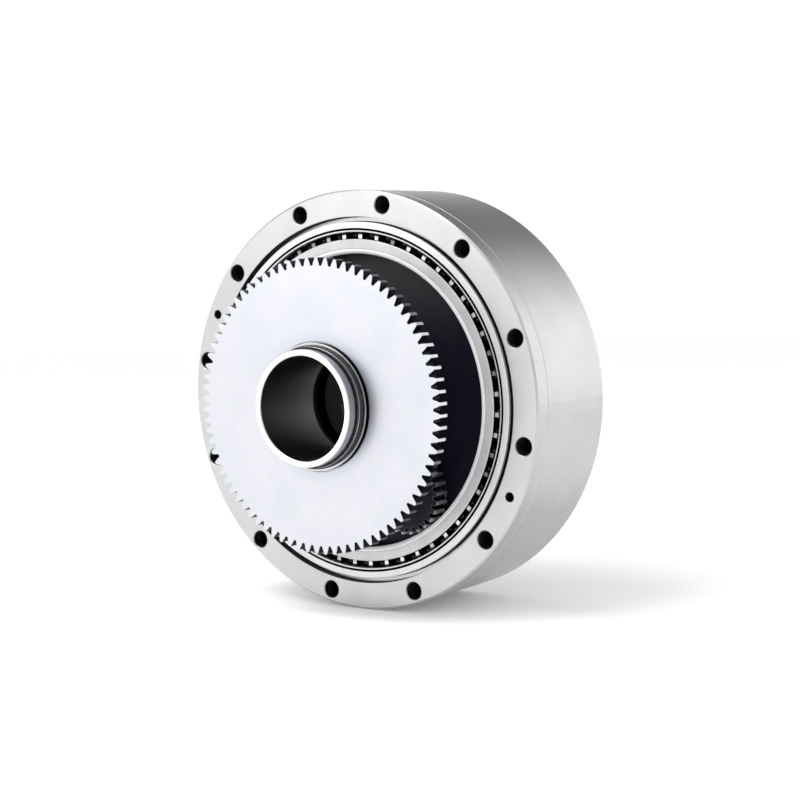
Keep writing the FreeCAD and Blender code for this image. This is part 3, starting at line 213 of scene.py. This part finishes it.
# Machined steel: tool marks round the axis, soft clouds, fine scratches, brighter edges. A noise is
# given as scale, detail and roughness, without the scale where the look has its own, and a share is
# where a soft step in it begins and ends.
machining = {
    "markStretch": (1.3, 0.002),
    "markNoise": (3.0, 0.6),
    "markShare": (0.45, 0.75),
    "markRough": 0.08,
    "cloudNoise": (3.0, 0.55),
    "cloudShare": (0.35, 0.7),
    "scratchStretch": (0.25, 2.5, 3.5),
    "scratchNoise": (1.6, 4.0, 0.7),
    "scratchShare": (0.62, 0.78),
    "scratchRough": 0.06,
    "scratchDepth": 0.4,
    "edgeSamples": 4,
    "edgeShare": (0.02, 0.25),
    "smoothest": 0.05,
    "bumpDistance": 0.1 * millimetre,
}


def steel(name, look, centre=(0, 0), layers=()):
    # each layer is a mask and the stain that it lays on
    finish = Finish(name, centre)
    alongStretch, acrossStretch = machining["markStretch"]
    markPlace = finish.combined(finish.radius, finish.along * alongStretch, finish.across * acrossStretch)
    marks = finish.noise(markPlace, look["marks"], *machining["markNoise"])
    clouds = finish.noise(finish.place, look["clouds"], *machining["cloudNoise"])
    stretches = zip((finish.across, finish.along, finish.up), machining["scratchStretch"])
    scratchPlace = finish.combined(*(way * stretch for way, stretch in stretches))
    scratches = finish.noise(scratchPlace, *machining["scratchNoise"]).rise(*machining["scratchShare"])
    rounded, sharpness = finish.edges(look["edge"], machining["edgeSamples"])
    colour = finish.mix(clouds.rise(*machining["cloudShare"]), look["colour"], look["shade"])
    colour = finish.mix(marks.rise(*machining["markShare"]) * look["tone"], colour, look["shade"])
    colour = finish.mix(sharpness.rise(*machining["edgeShare"]) * look["wear"], colour, look["bright"])
    rough = look["rough"] + (clouds - 0.5) * look["cloudy"] + (marks - 0.5) * machining["markRough"]
    rough = rough + scratches * machining["scratchRough"]
    metal = look["metal"]
    for mask, stain in layers:
        amount = mask(finish)
        colour = finish.mix(amount, colour, stain["colour"])
        rough = rough + amount * (stain["rough"] - look["rough"])
        metal = amount * (stain["metal"] - look["metal"]) + metal
    bump = finish.add("ShaderNodeBump", {}, {
        "Strength": look["depth"],
        "Distance": machining["bumpDistance"],
        "Height": marks + scratches * machining["scratchDepth"],
        "Normal": rounded,
    })
    return finish.closed({
        "Base Color": colour,
        "Roughness": rough.math("MAXIMUM", machining["smoothest"]),
        "Metallic": metal,
        "Normal": bump,
    })


# Rubber of the seal and of the O-ring.
rubberLook = {
    "colour": grey(0.012),
    "shade": grey(0.02),
    "rough": 0.55,
    "shine": 0.4,
    "clouds": (0.12, 2.0, 0.5),
    "grain": (3.0, 4.0, 0.6),
    "grainRough": 0.15,
    "grainDepth": 0.35,
    "bumpDistance": 0.1 * millimetre,
}


def rubber(name, look):
    finish = Finish(name)
    grain = finish.noise(finish.place, *look["grain"])
    clouds = finish.noise(finish.place, *look["clouds"])
    relief = {"Strength": look["grainDepth"], "Distance": look["bumpDistance"], "Height": grain}
    return finish.closed({
        "Base Color": finish.mix(clouds, look["colour"], look["shade"]),
        "Roughness": look["rough"] + (grain - 0.5) * look["grainRough"],
        "Normal": finish.add("ShaderNodeBump", {}, relief),
        "Specular IOR Level": look["shine"],
    })


# Looks of whole pieces: the case's satin steel, and changes of it.
def looked(base, **changes):
    return {**base, **changes}


satin = {
    "colour": (0.535, 0.533, 0.535),
    "shade": (0.5, 0.498, 0.502),
    "bright": grey(0.85),
    "rough": 0.3,
    "metal": 1.0,
    "cloudy": 0.06,
    "marks": 5.0,
    "clouds": 0.05,
    "tone": 0.25,
    "wear": 0.6,
    "edge": 0.25,
    "depth": 0.1,
}
gearBright = looked(
    satin, colour=(0.605, 0.615, 0.65), shade=(0.575, 0.587, 0.628), rough=0.36, tone=0.15, depth=0.06)
hubBright = looked(satin, colour=(0.6, 0.6, 0.605), shade=(0.54, 0.54, 0.55), rough=0.26, depth=0.06)
groundRing = looked(
    satin, colour=(0.72, 0.72, 0.725), shade=(0.66, 0.66, 0.67), rough=0.22, marks=9.0, depth=0.06)
outerRing = looked(groundRing, colour=(0.72, 0.72, 0.73), shade=(0.64, 0.64, 0.65), rough=0.3, metal=0.45)
innerRing = looked(groundRing, colour=(0.66, 0.66, 0.67), shade=(0.56, 0.56, 0.575), rough=0.3, metal=0.25)
polished = looked(
    satin, colour=(0.5, 0.5, 0.51), shade=(0.4, 0.4, 0.42), rough=0.1, marks=3.0, depth=0.03, edge=0.1)
# balls painted near black as shade, though they are shiny steel
ballPaintedDark = looked(polished, colour=(0.02, 0.02, 0.022), shade=(0.012, 0.012, 0.014), bright=grey(0.05))
# near-black steel of the spur gears
darkSteel = looked(
    satin, colour=(0.034, 0.035, 0.05), shade=(0.02, 0.022, 0.034), bright=(0.5, 0.5, 0.52),
    rough=0.42, metal=0.7, wear=0.8)
blackOxide = looked(
    satin, colour=(0.03, 0.03, 0.033), shade=(0.02, 0.02, 0.022), bright=grey(0.2), rough=0.38, wear=0.8)
shadedThread = looked(
    blackOxide, colour=(0.016, 0.016, 0.018), shade=(0.01, 0.01, 0.012), bright=(0.07, 0.07, 0.075))
pressed = looked(satin, colour=grey(0.6), shade=(0.48, 0.48, 0.49), rough=0.26, clouds=0.5, edge=0.12)
brightCage = looked(pressed, colour=grey(0.9), shade=grey(0.8), metal=0.6)

# Stains: what the layers lay on parts of a piece, dark ones first. Most of them are painted shade or painted
# highlights rather than real stains.
# painted shade: near black where holes, grooves, gaps and deep parts lie in shadow
shadeBlack = {"colour": (0.003, 0.003, 0.004), "rough": 0.5, "metal": 1.0}
# painted shade in recesses: the gear cavity and the walls of the disc bore
recessShade = {"colour": (0.006, 0.006, 0.018), "rough": 0.45, "metal": 0.5}
# painted shade on the tooth flanks and on the tips away from the right
toothShade = {"colour": (0.012, 0.012, 0.017), "rough": 0.4, "metal": 1.0}
# oil on the cage's fingers, and the lighter painted shade high in the gear cavity
charcoal = {"colour": (0.035, 0.03, 0.034), "rough": 0.45, "metal": 0.5}
# painted shade in the hub's bore
boreShade = {"colour": (0.1, 0.1, 0.106), "rough": 0.36, "metal": 1.0}
# painted shade on the countersinks of the tapped holes
mouthGrey = {"colour": grey(0.28), "rough": 0.45, "metal": 1.0}
# painted shade on the hub's sides
sideShade = {"colour": (0.33, 0.33, 0.345), "rough": 0.28, "metal": 1.0}
# painted bluish shadow on the gear face round the hub
blueShadow = {"colour": (0.46, 0.49, 0.57), "rough": 0.34, "metal": 1.0}
gapSteel = {"colour": grey(0.62), "rough": 0.32, "metal": 0.85}
# painted highlight on the centre gear's tooth tips
gleam = {"colour": (0.92, 0.92, 0.93), "rough": 0.34, "metal": 0.25}
# painted highlight on the hold flange's lip
lipHighlight = {"colour": (0.95, 0.95, 0.96), "rough": 0.32, "metal": 0.15}
# painted highlight on the hub's front rim
rimHighlight = {"colour": grey(0.96), "rough": 0.36, "metal": 0.5}
# painted highlight on the spur gears' tips
tipGleam = {"colour": (0.96, 0.97, 1.0), "rough": 0.3, "metal": 0.0}


def dress(material, *names):
    for name in names:
        mesh = nodes[name].data
        mesh.materials.clear()
        mesh.materials.append(material)


# In the dictionaries of zones, two numbers are where a soft step begins and ends, and three are
# where a band begins and ends and how soft its borders are. A noise is given as for the machining.

# Case: holes painted black as shade, their mouths painted grey as shade, two smaller jack holes painted black
# as shade, and the gap round the front bearing with its walls and the edges of its floor painted black as
# shade.
tapped = {"circle": 84.5, "angle": 108.65, "count": 12}
jack = {"circle": 84.5, "angle": 153.65, "count": 2}
caseZones = {
    "tappedHole": 3.75,
    "tappedMouth": 4.2,
    "jackHole": 2.15,
    "holeSoft": 0.1,
    "belowFace": (0.2, 0.5),
    "atFace": (0.02, 0.08),
    "gapEdge": (78.68, 78.76),
    "gapDepth": (0.28, 6.0, 0.12),
    "gapFloor": (76.8, 78.35, 0.06),
}


def roundHoles(finish, ring, hole):
    # 1 inside the holes of a hole circle, with two whole turns added to keep the angle positive
    turn = finish.up.math("ARCTAN2", finish.across) - math.radians(ring["angle"])
    pitch = wholeTurn / ring["count"]
    near = (turn + 2 * wholeTurn + pitch / 2).math("MODULO", pitch) - pitch / 2
    sideways = finish.radius * near.math("SINE")
    outward = finish.radius * near.math("COSINE") - ring["circle"]
    distance = (sideways * sideways + outward * outward) ** 0.5
    soft = caseZones["holeSoft"]
    return 1 - distance.rise(hole - soft, hole + soft)


def tappedHoles(finish):
    return roundHoles(finish, tapped, caseZones["tappedHole"]) * finish.behind(caseZones["belowFace"])


# painted shade on the countersinks round the tapped holes
def tappedMouths(finish):
    return roundHoles(finish, tapped, caseZones["tappedMouth"]) * finish.behind(caseZones["atFace"])


def jackHoles(finish):
    return roundHoles(finish, jack, caseZones["jackHole"]) * finish.behind(caseZones["belowFace"])


def gap(finish):
    return finish.inside(caseZones["gapEdge"]) * finish.along.between(*caseZones["gapDepth"])


def gapWalls(finish):
    # painted shade: the gap's walls, and dark lines of shade along both edges of its floor
    lines = 1 - finish.radius.between(*caseZones["gapFloor"])
    return gap(finish) * lines.math("MAXIMUM", finish.walls())


def dressCase():
    holes = [(tappedMouths, mouthGrey), (tappedHoles, shadeBlack), (jackHoles, shadeBlack)]
    layers = holes + [(gap, gapSteel), (gapWalls, shadeBlack)]
    dress(steel("caseSteel", satin, layers=layers), "case")


# Front bearing: bright lands, oil in patches on the cage, and painted shadow in the race, in the face groove,
# on the outer ring's outside wall and deep in the cage.
bearingZones = {
    "ringOutside": (76.35, 76.48),
    "ringChamfer": (1.3, 1.8),
    "groove": (72.8, 73.78, 0.03),
    "grooveDepth": (2, 3),
    "race": (69.12, 72.14, 0.02),
    "raceDepth": (0.5, 0.9),
    "innerLand": (68.9, 69.0),
    "innerDepth": (0.4, 0.7),
    "fingerOutside": (70.9, 71.1),
    "fingerDepth": (1.25, 1.9),
    "cageShade": 0.96,
    "oilNoise": (0.03, 1.0, 0.5),
    "oilShare": (0.46, 0.6),
    "oilAmount": 0.75,
}


# painted shade on the outer ring's outside wall
def ringOutside(finish):
    return finish.outside(bearingZones["ringOutside"]) * finish.behind(bearingZones["ringChamfer"])


# painted shade in the groove on the outer ring's face
def faceGroove(finish):
    return finish.radius.between(*bearingZones["groove"]) * finish.before(bearingZones["grooveDepth"])


def raceShadow(finish):
    return finish.radius.between(*bearingZones["race"]) * finish.behind(bearingZones["raceDepth"])


def landShadow(finish):
    # the inner ring's land, seen through the cage
    return finish.outside(bearingZones["innerLand"]) * finish.behind(bearingZones["innerDepth"])


def cageDepth(finish):
    # painted shade on all of the cage but its fingers' front ends
    shaded = finish.walls().math("MAXIMUM", finish.outside(bearingZones["fingerOutside"]))
    shaded = shaded * bearingZones["cageShade"]
    return finish.behind(bearingZones["fingerDepth"]).math("MAXIMUM", shaded)


def cageOil(finish):
    # oil lies on some of the fingers
    patches = finish.noise(finish.place, *bearingZones["oilNoise"])
    return patches.rise(*bearingZones["oilShare"]) * bearingZones["oilAmount"]


def dressFrontBearing():
    layers = [(faceGroove, shadeBlack), (ringOutside, shadeBlack), (raceShadow, shadeBlack)]
    dress(steel("outerRingSteel", outerRing, layers=layers), "front_bearing_outer_ring")
    dress(steel("innerRingSteel", innerRing, layers=[(landShadow, shadeBlack)]), "front_bearing_inner_ring")
    layers = [(cageOil, charcoal), (cageDepth, shadeBlack)]
    dress(steel("frontCageSteel", brightCage, layers=layers), "front_bearing_cage")


# Hold flange: the cavity for the gears painted dark as shade, less dark towards its top, inside a lip with a
# painted highlight.
cavityZones = {
    "wall": (62.95, 63.5),
    "depth": (0.6, 2.6),
    "lighterHeight": (18.0, 62.0),
    "lip": (62.75, 63.2),
    "lipDepth": (0.8, 1.8),
}


# painted shade in the cavity
def gearCavity(finish):
    return finish.inside(cavityZones["wall"]) * finish.behind(cavityZones["depth"])


def cavityShadeTop(finish):
    # the painted shade is lighter towards the top
    return gearCavity(finish) * finish.up.rise(*cavityZones["lighterHeight"])


# painted highlight on the lip round the cavity
def cavityLip(finish):
    return finish.outside(cavityZones["lip"]) * finish.before(cavityZones["lipDepth"])


def dressHoldFlange():
    layers = [(gearCavity, recessShade), (cavityShadeTop, charcoal), (cavityLip, lipHighlight)]
    dress(steel("holdFlangeSteel", satin, layers=layers), "hold_flange")


# Centre gear: flanks painted dark as shade, tips with a painted highlight at the right and painted shade
# elsewhere, a painted bluish shadow on the face round the hub.
gearZones = {
    "flankFoot": (57.6, 58.2),
    "flankTop": (61.55, 61.8),
    "flankShade": 0.97,
    "tip": (61.6, 61.75),
    "litRight": (0.74, 0.93),
    "shadedBelow": (0.15, 0.4),
    "tipShade": 0.93,
    "halo": (26.5, 33.0),
    "haloFace": (-27.6, -27.0),
    "haloAmount": 0.45,
}


def toothFlanks(finish):
    between = finish.outside(gearZones["flankFoot"]) * finish.inside(gearZones["flankTop"])
    return between * finish.walls() * gearZones["flankShade"]


# painted highlight on all the tooth tips
def toothTips(finish):
    return finish.outside(gearZones["tip"]) * finish.walls()


# painted shade on the tips, except those facing right that don't also face down
def tipsShadedOffRight(finish):
    right = (finish.across / finish.radius).rise(*gearZones["litRight"])
    below = ((0 - finish.up) / finish.radius).rise(*gearZones["shadedBelow"])
    return toothTips(finish) * (1 - right * (1 - below)) * gearZones["tipShade"]


# painted bluish shadow on the gear face round the hub
def hubShadowHalo(finish):
    return finish.inside(gearZones["halo"]) * finish.before(gearZones["haloFace"]) * gearZones["haloAmount"]


def dressCentreGear():
    layers = [(toothFlanks, toothShade), (toothTips, gleam), (tipsShadedOffRight, toothShade), (hubShadowHalo, blueShadow)]
    dress(steel("centreGearSteel", gearBright, layers=layers), "centre_gear")


# Hub of the sun shaft: a painted highlight on the front rim, painted shade on the sides, in the bore, in the
# relief behind it and in the undercut at the gear.
hubZones = {
    "side": (23.3, 23.6),
    "sideSteep": (0.5, 0.8),
    "sideEnd": (-29.0, -28.5),
    "rim": (-37.98, -37.93),
    "bore": (21.9, 22.1),
    "boreStart": (-37.7, -37.5),
    "relief": (24.2, 24.4),
    "reliefStart": (-2.3, -1.8),
    "undercut": (25.2, 26.5, 0.08),
    "undercutPlace": (-29.3, -27.35, 0.04),
}


# painted shade on the sides
def hubSide(finish):
    side = finish.outside(hubZones["side"]) * finish.walls(hubZones["sideSteep"])
    return side * finish.before(hubZones["sideEnd"])


# painted highlight on the front rim
def hubRim(finish):
    return finish.before(hubZones["rim"])


# painted shade in the bore
def hubBore(finish):
    return finish.inside(hubZones["bore"]) * finish.behind(hubZones["boreStart"])


# painted shade in the relief behind the bore
def hubRelief(finish):
    return finish.inside(hubZones["relief"]) * finish.behind(hubZones["reliefStart"])


# painted shade in the undercut at the gear
def undercut(finish):
    return finish.along.between(*hubZones["undercutPlace"]) * finish.radius.between(*hubZones["undercut"])


def dressHub():
    layers = [(hubSide, sideShade), (hubRim, rimHighlight), (hubBore, boreShade)]
    layers += [(hubRelief, shadeBlack), (undercut, shadeBlack)]
    dress(steel("hubSteel", hubBright, layers=layers), "sun_shaft")


# Cycloid discs: painted shade on the walls round the sun shaft.
discZones = {"bore": (34.0, 34.5), "steep": (0.8, 0.9)}


def discBore(finish):
    return finish.inside(discZones["bore"]) * finish.walls(discZones["steep"])


def dressDiscs():
    finish = steel("discSteel", groundRing, layers=[(discBore, recessShade)])
    dress(finish, "cycloid_disc_front", "cycloid_disc_rear")


# Crankshafts: each one's finishes are centred on its own axis, with painted highlights on its spur gear's
# tips.
spurZones = {
    "tip": (16.2, 16.8),
    "faceShare": 0.5,
    "patchNoise": (0.3, 2.0, 0.7),
    "patchShare": (0.35, 0.6),
    "patchAmount": 0.4,
    "upper": (-0.9, 0.3),
    "upperShade": 0.75,
}


def spurTipHighlights(finish):
    # painted highlight on the tips, in patches, strongest low down and weak on the upper tips
    patches = finish.noise(finish.place, *spurZones["patchNoise"]).rise(*spurZones["patchShare"])
    upper = (finish.up / finish.radius).rise(*spurZones["upper"])
    amount, faceShare = spurZones["patchAmount"], spurZones["faceShare"]
    bare = (1 - upper * spurZones["upperShade"]) * (patches * amount + (1 - amount))
    return finish.outside(spurZones["tip"]) * (finish.walls() * (1 - faceShare) + faceShare) * bare


def dressCrankshafts():
    for number in ("_1", "_2"):
        low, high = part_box("spur_gear" + number)
        middle = (low + high) / 2 / millimetre
        centre = (middle.x, middle.z)
        dress(steel("spurGearSteel" + number, darkSteel, centre, [(spurTipHighlights, tipGleam)]), "spur_gear" + number)
        dress(steel("crankSteel" + number, groundRing, centre), "crankshaft" + number)
        for side in ("front", "rear"):
            tapers = steel(side + "TaperSteel" + number, groundRing, centre)
            rollers = steel(side + "RollerSteel" + number, polished, centre)
            cages = steel(side + "RollerCageSteel" + number, pressed, centre)
            dress(tapers, side + "_cup" + number, side + "_cone" + number)
            dress(rollers, side + "_rollers" + number, side + "_disc_needles" + number)
            dress(cages, side + "_roller_cage" + number, side + "_disc_cage" + number)


def dressPlainPieces():
    dress(steel("ringSteel", groundRing), "rear_bearing_outer_ring", "rear_bearing_inner_ring")
    dress(steel("ballSteel", ballPaintedDark), "front_bearing_balls", "rear_bearing_balls")
    dress(steel("ballCageSteel", pressed), "rear_bearing_cage")
    dress(rubber("sealRubber", rubberLook), "oil_seal", "hub_o_ring")
    dress(steel("springWire", pressed), "seal_garter_spring")
    dress(steel("outputFlangeSteel", satin), "output_flange")
    dress(steel("boltOxide", blackOxide), "carrier_bolts")
    dress(steel("dowelSteel", groundRing), "carrier_dowels", "ring_pins")
    dress(steel("snapRingOxide", blackOxide), "hub_snap_ring", "gear_snap_ring_1", "gear_snap_ring_2")
    dress(steel("needleSteel", polished), "centre_needles")
    dress(steel("needleCageSteel", pressed), "centre_needle_cage")


dressCase()
dressFrontBearing()
dressHoldFlange()
dressCentreGear()
dressHub()
dressDiscs()
dressCrankshafts()
dressPlainPieces()
bare = [name for name, node in nodes.items() if not node.data.materials]
print("finishes made:", len(bpy.data.materials), "nodes left bare:", bare)


# Threads: fine ridges that wind down the tapped holes. Hole is the radius of the plain hole, start
# is where the ridge begins along Y, and inward is the way into the hole.
threads = {
    "caseThreads": {
        **tapped, "body": "case", "slot": "case_steel",
        "hole": 3.4, "ridge": 0.3, "pitch": 1.25, "turns": 15, "start": 1.2, "inward": 1},
    "jackThreads": {
        **jack, "body": "case", "slot": "case_steel",
        "hole": 2.1, "ridge": 0.2, "pitch": 0.8, "turns": 12, "start": 1.0, "inward": 1},
    "outputThreads": {
        "circle": 57, "angle": 0, "count": 12, "body": "carrier", "slot": "flange_steel",
        "hole": 3.4, "ridge": 0.3, "pitch": 1.25, "turns": 5, "start": 57.8, "inward": -1},
}
ridgeForm = {"stepsPerTurn": 20, "sunk": 0.04, "halfWidth": 0.4}


def threadRidge(form, settings):
    # one right-handed ridge, wound from a small triangle with its foot in the wall
    wall, crest = settings["hole"] + ridgeForm["sunk"], settings["hole"] - settings["ridge"]
    half = settings["pitch"] * ridgeForm["halfWidth"]
    outline = [(wall, -half), (crest, 0), (wall, half)]
    corners = [form.verts.new(Vector((x, y, 0)) * millimetre) for x, y in outline]
    sides = [form.edges.new(pair) for pair in zip(corners, corners[1:] + corners[:1])]
    steps = ridgeForm["stepsPerTurn"] * settings["turns"]
    lift = settings["pitch"] * settings["inward"] / ridgeForm["stepsPerTurn"] * millimetre
    turn = wholeTurn * settings["turns"] * settings["inward"]
    bmesh.ops.spin(form, geom=corners + sides, axis=(0, 1, 0), dvec=(0, lift, 0), angle=turn, steps=steps)
    bmesh.ops.holes_fill(form, edges=[edge for edge in form.edges if edge.is_boundary], sides=3)
    bmesh.ops.recalc_face_normals(form, faces=form.faces)


def makeThreads(name, settings, finish):
    form = bmesh.new()
    threadRidge(form, settings)
    angle, circle = math.radians(settings["angle"]), settings["circle"]
    place = Vector((math.cos(angle) * circle, settings["start"], math.sin(angle) * circle))
    bmesh.ops.translate(form, verts=form.verts, vec=place * millimetre)
    wholeRidge = form.verts[:] + form.edges[:] + form.faces[:]
    others = settings["count"] - 1
    sweep = wholeTurn * others / settings["count"]
    bmesh.ops.spin(form, geom=wholeRidge, axis=(0, 1, 0), angle=sweep, steps=others, use_duplicate=True)
    mesh = bpy.data.meshes.new(name)
    form.to_mesh(mesh)
    form.free()
    mesh.materials.append(finish)
    piece = bpy.data.objects.new(name, mesh)
    scene.collection.objects.link(piece)
    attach(piece, settings["body"])
    return piece


def makeAllThreads():
    finish = steel("threadSteel", shadedThread)
    for name, settings in threads.items():
        piece = makeThreads(name, settings, finish)
        print(name, "made, faces:", len(piece.data.polygons))


makeAllThreads()


# Studio floor: a pale disc that turns up into a backdrop. Its paint glows more in two patches that
# the camera doesn't see, behind at the right and high in front at the left, for the steel to mirror.
# The form is in metres, and the patches are in millimetres, as in every finish.
floorForm = {"height": -0.0902, "reach": 2.6, "sides": 96, "bend": 0.8, "bendSteps": 12}
floorLook = {
    "paint": grey(0.93),
    "rough": 0.8,
    "glow": 0.1,
    "patchGlow": 0.5,
    "rearPatch": (50, 900),
    "frontPatch": (-1300, -3150),
    "frontReach": (300, 1100),
    "frontHeight": (-80, 50),
}


def makeFloor(settings, paint):
    form = bmesh.new()
    bmesh.ops.create_circle(form, cap_ends=True, segments=settings["sides"], radius=settings["reach"])
    rim = [edge for edge in form.edges if edge.is_boundary]
    for step in range(settings["bendSteps"]):
        made = bmesh.ops.extrude_edge_only(form, edges=rim)["geom"]
        rim = [item for item in made if isinstance(item, bmesh.types.BMEdge)]
        corners = [item for item in made if isinstance(item, bmesh.types.BMVert)]
        start, end = (math.pi / 2 * k / settings["bendSteps"] for k in (step, step + 1))
        out = settings["bend"] * (math.sin(end) - math.sin(start))
        lift = settings["bend"] * (math.cos(start) - math.cos(end))
        for corner in corners:
            corner.co += Vector((corner.co.x, corner.co.y, 0)).normalized() * out + Vector((0, 0, lift))
    bmesh.ops.translate(form, verts=form.verts, vec=(0, 0, settings["height"]))
    mesh = bpy.data.meshes.new("paleFloor")
    form.to_mesh(mesh)
    form.free()
    mesh.shade_smooth()
    mesh.materials.append(paint)
    floor = bpy.data.objects.new("paleFloor", mesh)
    scene.collection.objects.link(floor)


def floorPaint(look):
    paint = Finish("floorPaint")
    rear = paint.across.rise(*look["rearPatch"]) * paint.along.rise(*look["rearPatch"])
    middleX, middleY = look["frontPatch"]
    away = ((paint.across - middleX) ** 2 + (paint.along - middleY) ** 2) ** 0.5
    front = (1 - away.rise(*look["frontReach"])) * paint.up.rise(*look["frontHeight"])
    plain = grey(look["glow"] / look["patchGlow"])
    return paint.closed({
        "Base Color": opaque(look["paint"]),
        "Roughness": look["rough"],
        "Emission Color": paint.mix(rear.math("MAXIMUM", front), plain, grey(1)),
        "Emission Strength": look["patchGlow"],
    })


# Light tent: white all round, greyer overhead behind the case, with a bright patch behind at the
# right. Places are parts of a direction: X to the right, Y behind, Z up.
tentLook = {
    "strength": 1.0,
    "white": grey(1.0),
    "overhead": (0.2, 0.205, 0.215),
    "overheadHeight": (0.12, 0.5),
    "overheadBehind": (0.0, 0.6),
    "overheadRight": (-0.05, 0.3),
    "patch": grey(1.62),
    "patchRight": (0.2, 0.75, 0.15),
    "patchBehind": (0.2, 0.6),
    "patchHeight": (0.1, 0.4, 0.1),
}


def makeTent(look):
    world = bpy.data.worlds.new("lightTent")
    world.use_nodes = True
    scene.world = world
    tent = Graph(world.node_tree)
    right, behind, height = tent.parts(tent.add("ShaderNodeTexCoord", output="Generated"))
    overhead = height.rise(*look["overheadHeight"]) * behind.rise(*look["overheadBehind"])
    overhead = overhead * (1 - right.rise(*look["overheadRight"]))
    patch = right.between(*look["patchRight"]) * behind.rise(*look["patchBehind"])
    patch = patch * height.between(*look["patchHeight"])
    colour = tent.mix(patch, tent.mix(overhead, look["white"], look["overhead"]), look["patch"])
    background = tent.add("ShaderNodeBackground", {}, {"Color": colour, "Strength": look["strength"]})
    tent.add("ShaderNodeOutputWorld", {}, {"Surface": background})


# Soft boxes, both turned to the reducer.
softBoxes = [
    {"name": "frontLeftBox", "place": (-0.85, -1.1, 0.5), "size": (0.8, 0.8), "power": 3.0},
    {"name": "topBox", "place": (-0.3, -0.55, 1.1), "size": (0.7, 0.7), "power": 9.0},
]


def makeSoftBoxes(boxes):
    for box in boxes:
        data = bpy.data.lights.new(box["name"], "AREA")
        data.shape = "RECTANGLE"
        data.size, data.size_y = box["size"]
        data.energy = box["power"]
        light = bpy.data.objects.new(box["name"], data)
        light.location = box["place"]
        light.rotation_euler = (-Vector(box["place"])).to_track_quat("-Z", "Y").to_euler()
        light.visible_camera = False
        scene.collection.objects.link(light)


makeFloor(floorForm, floorPaint(floorLook))
makeTent(tentLook)
makeSoftBoxes(softBoxes)
scene.view_settings.view_transform = "Standard"
print("studio set up")
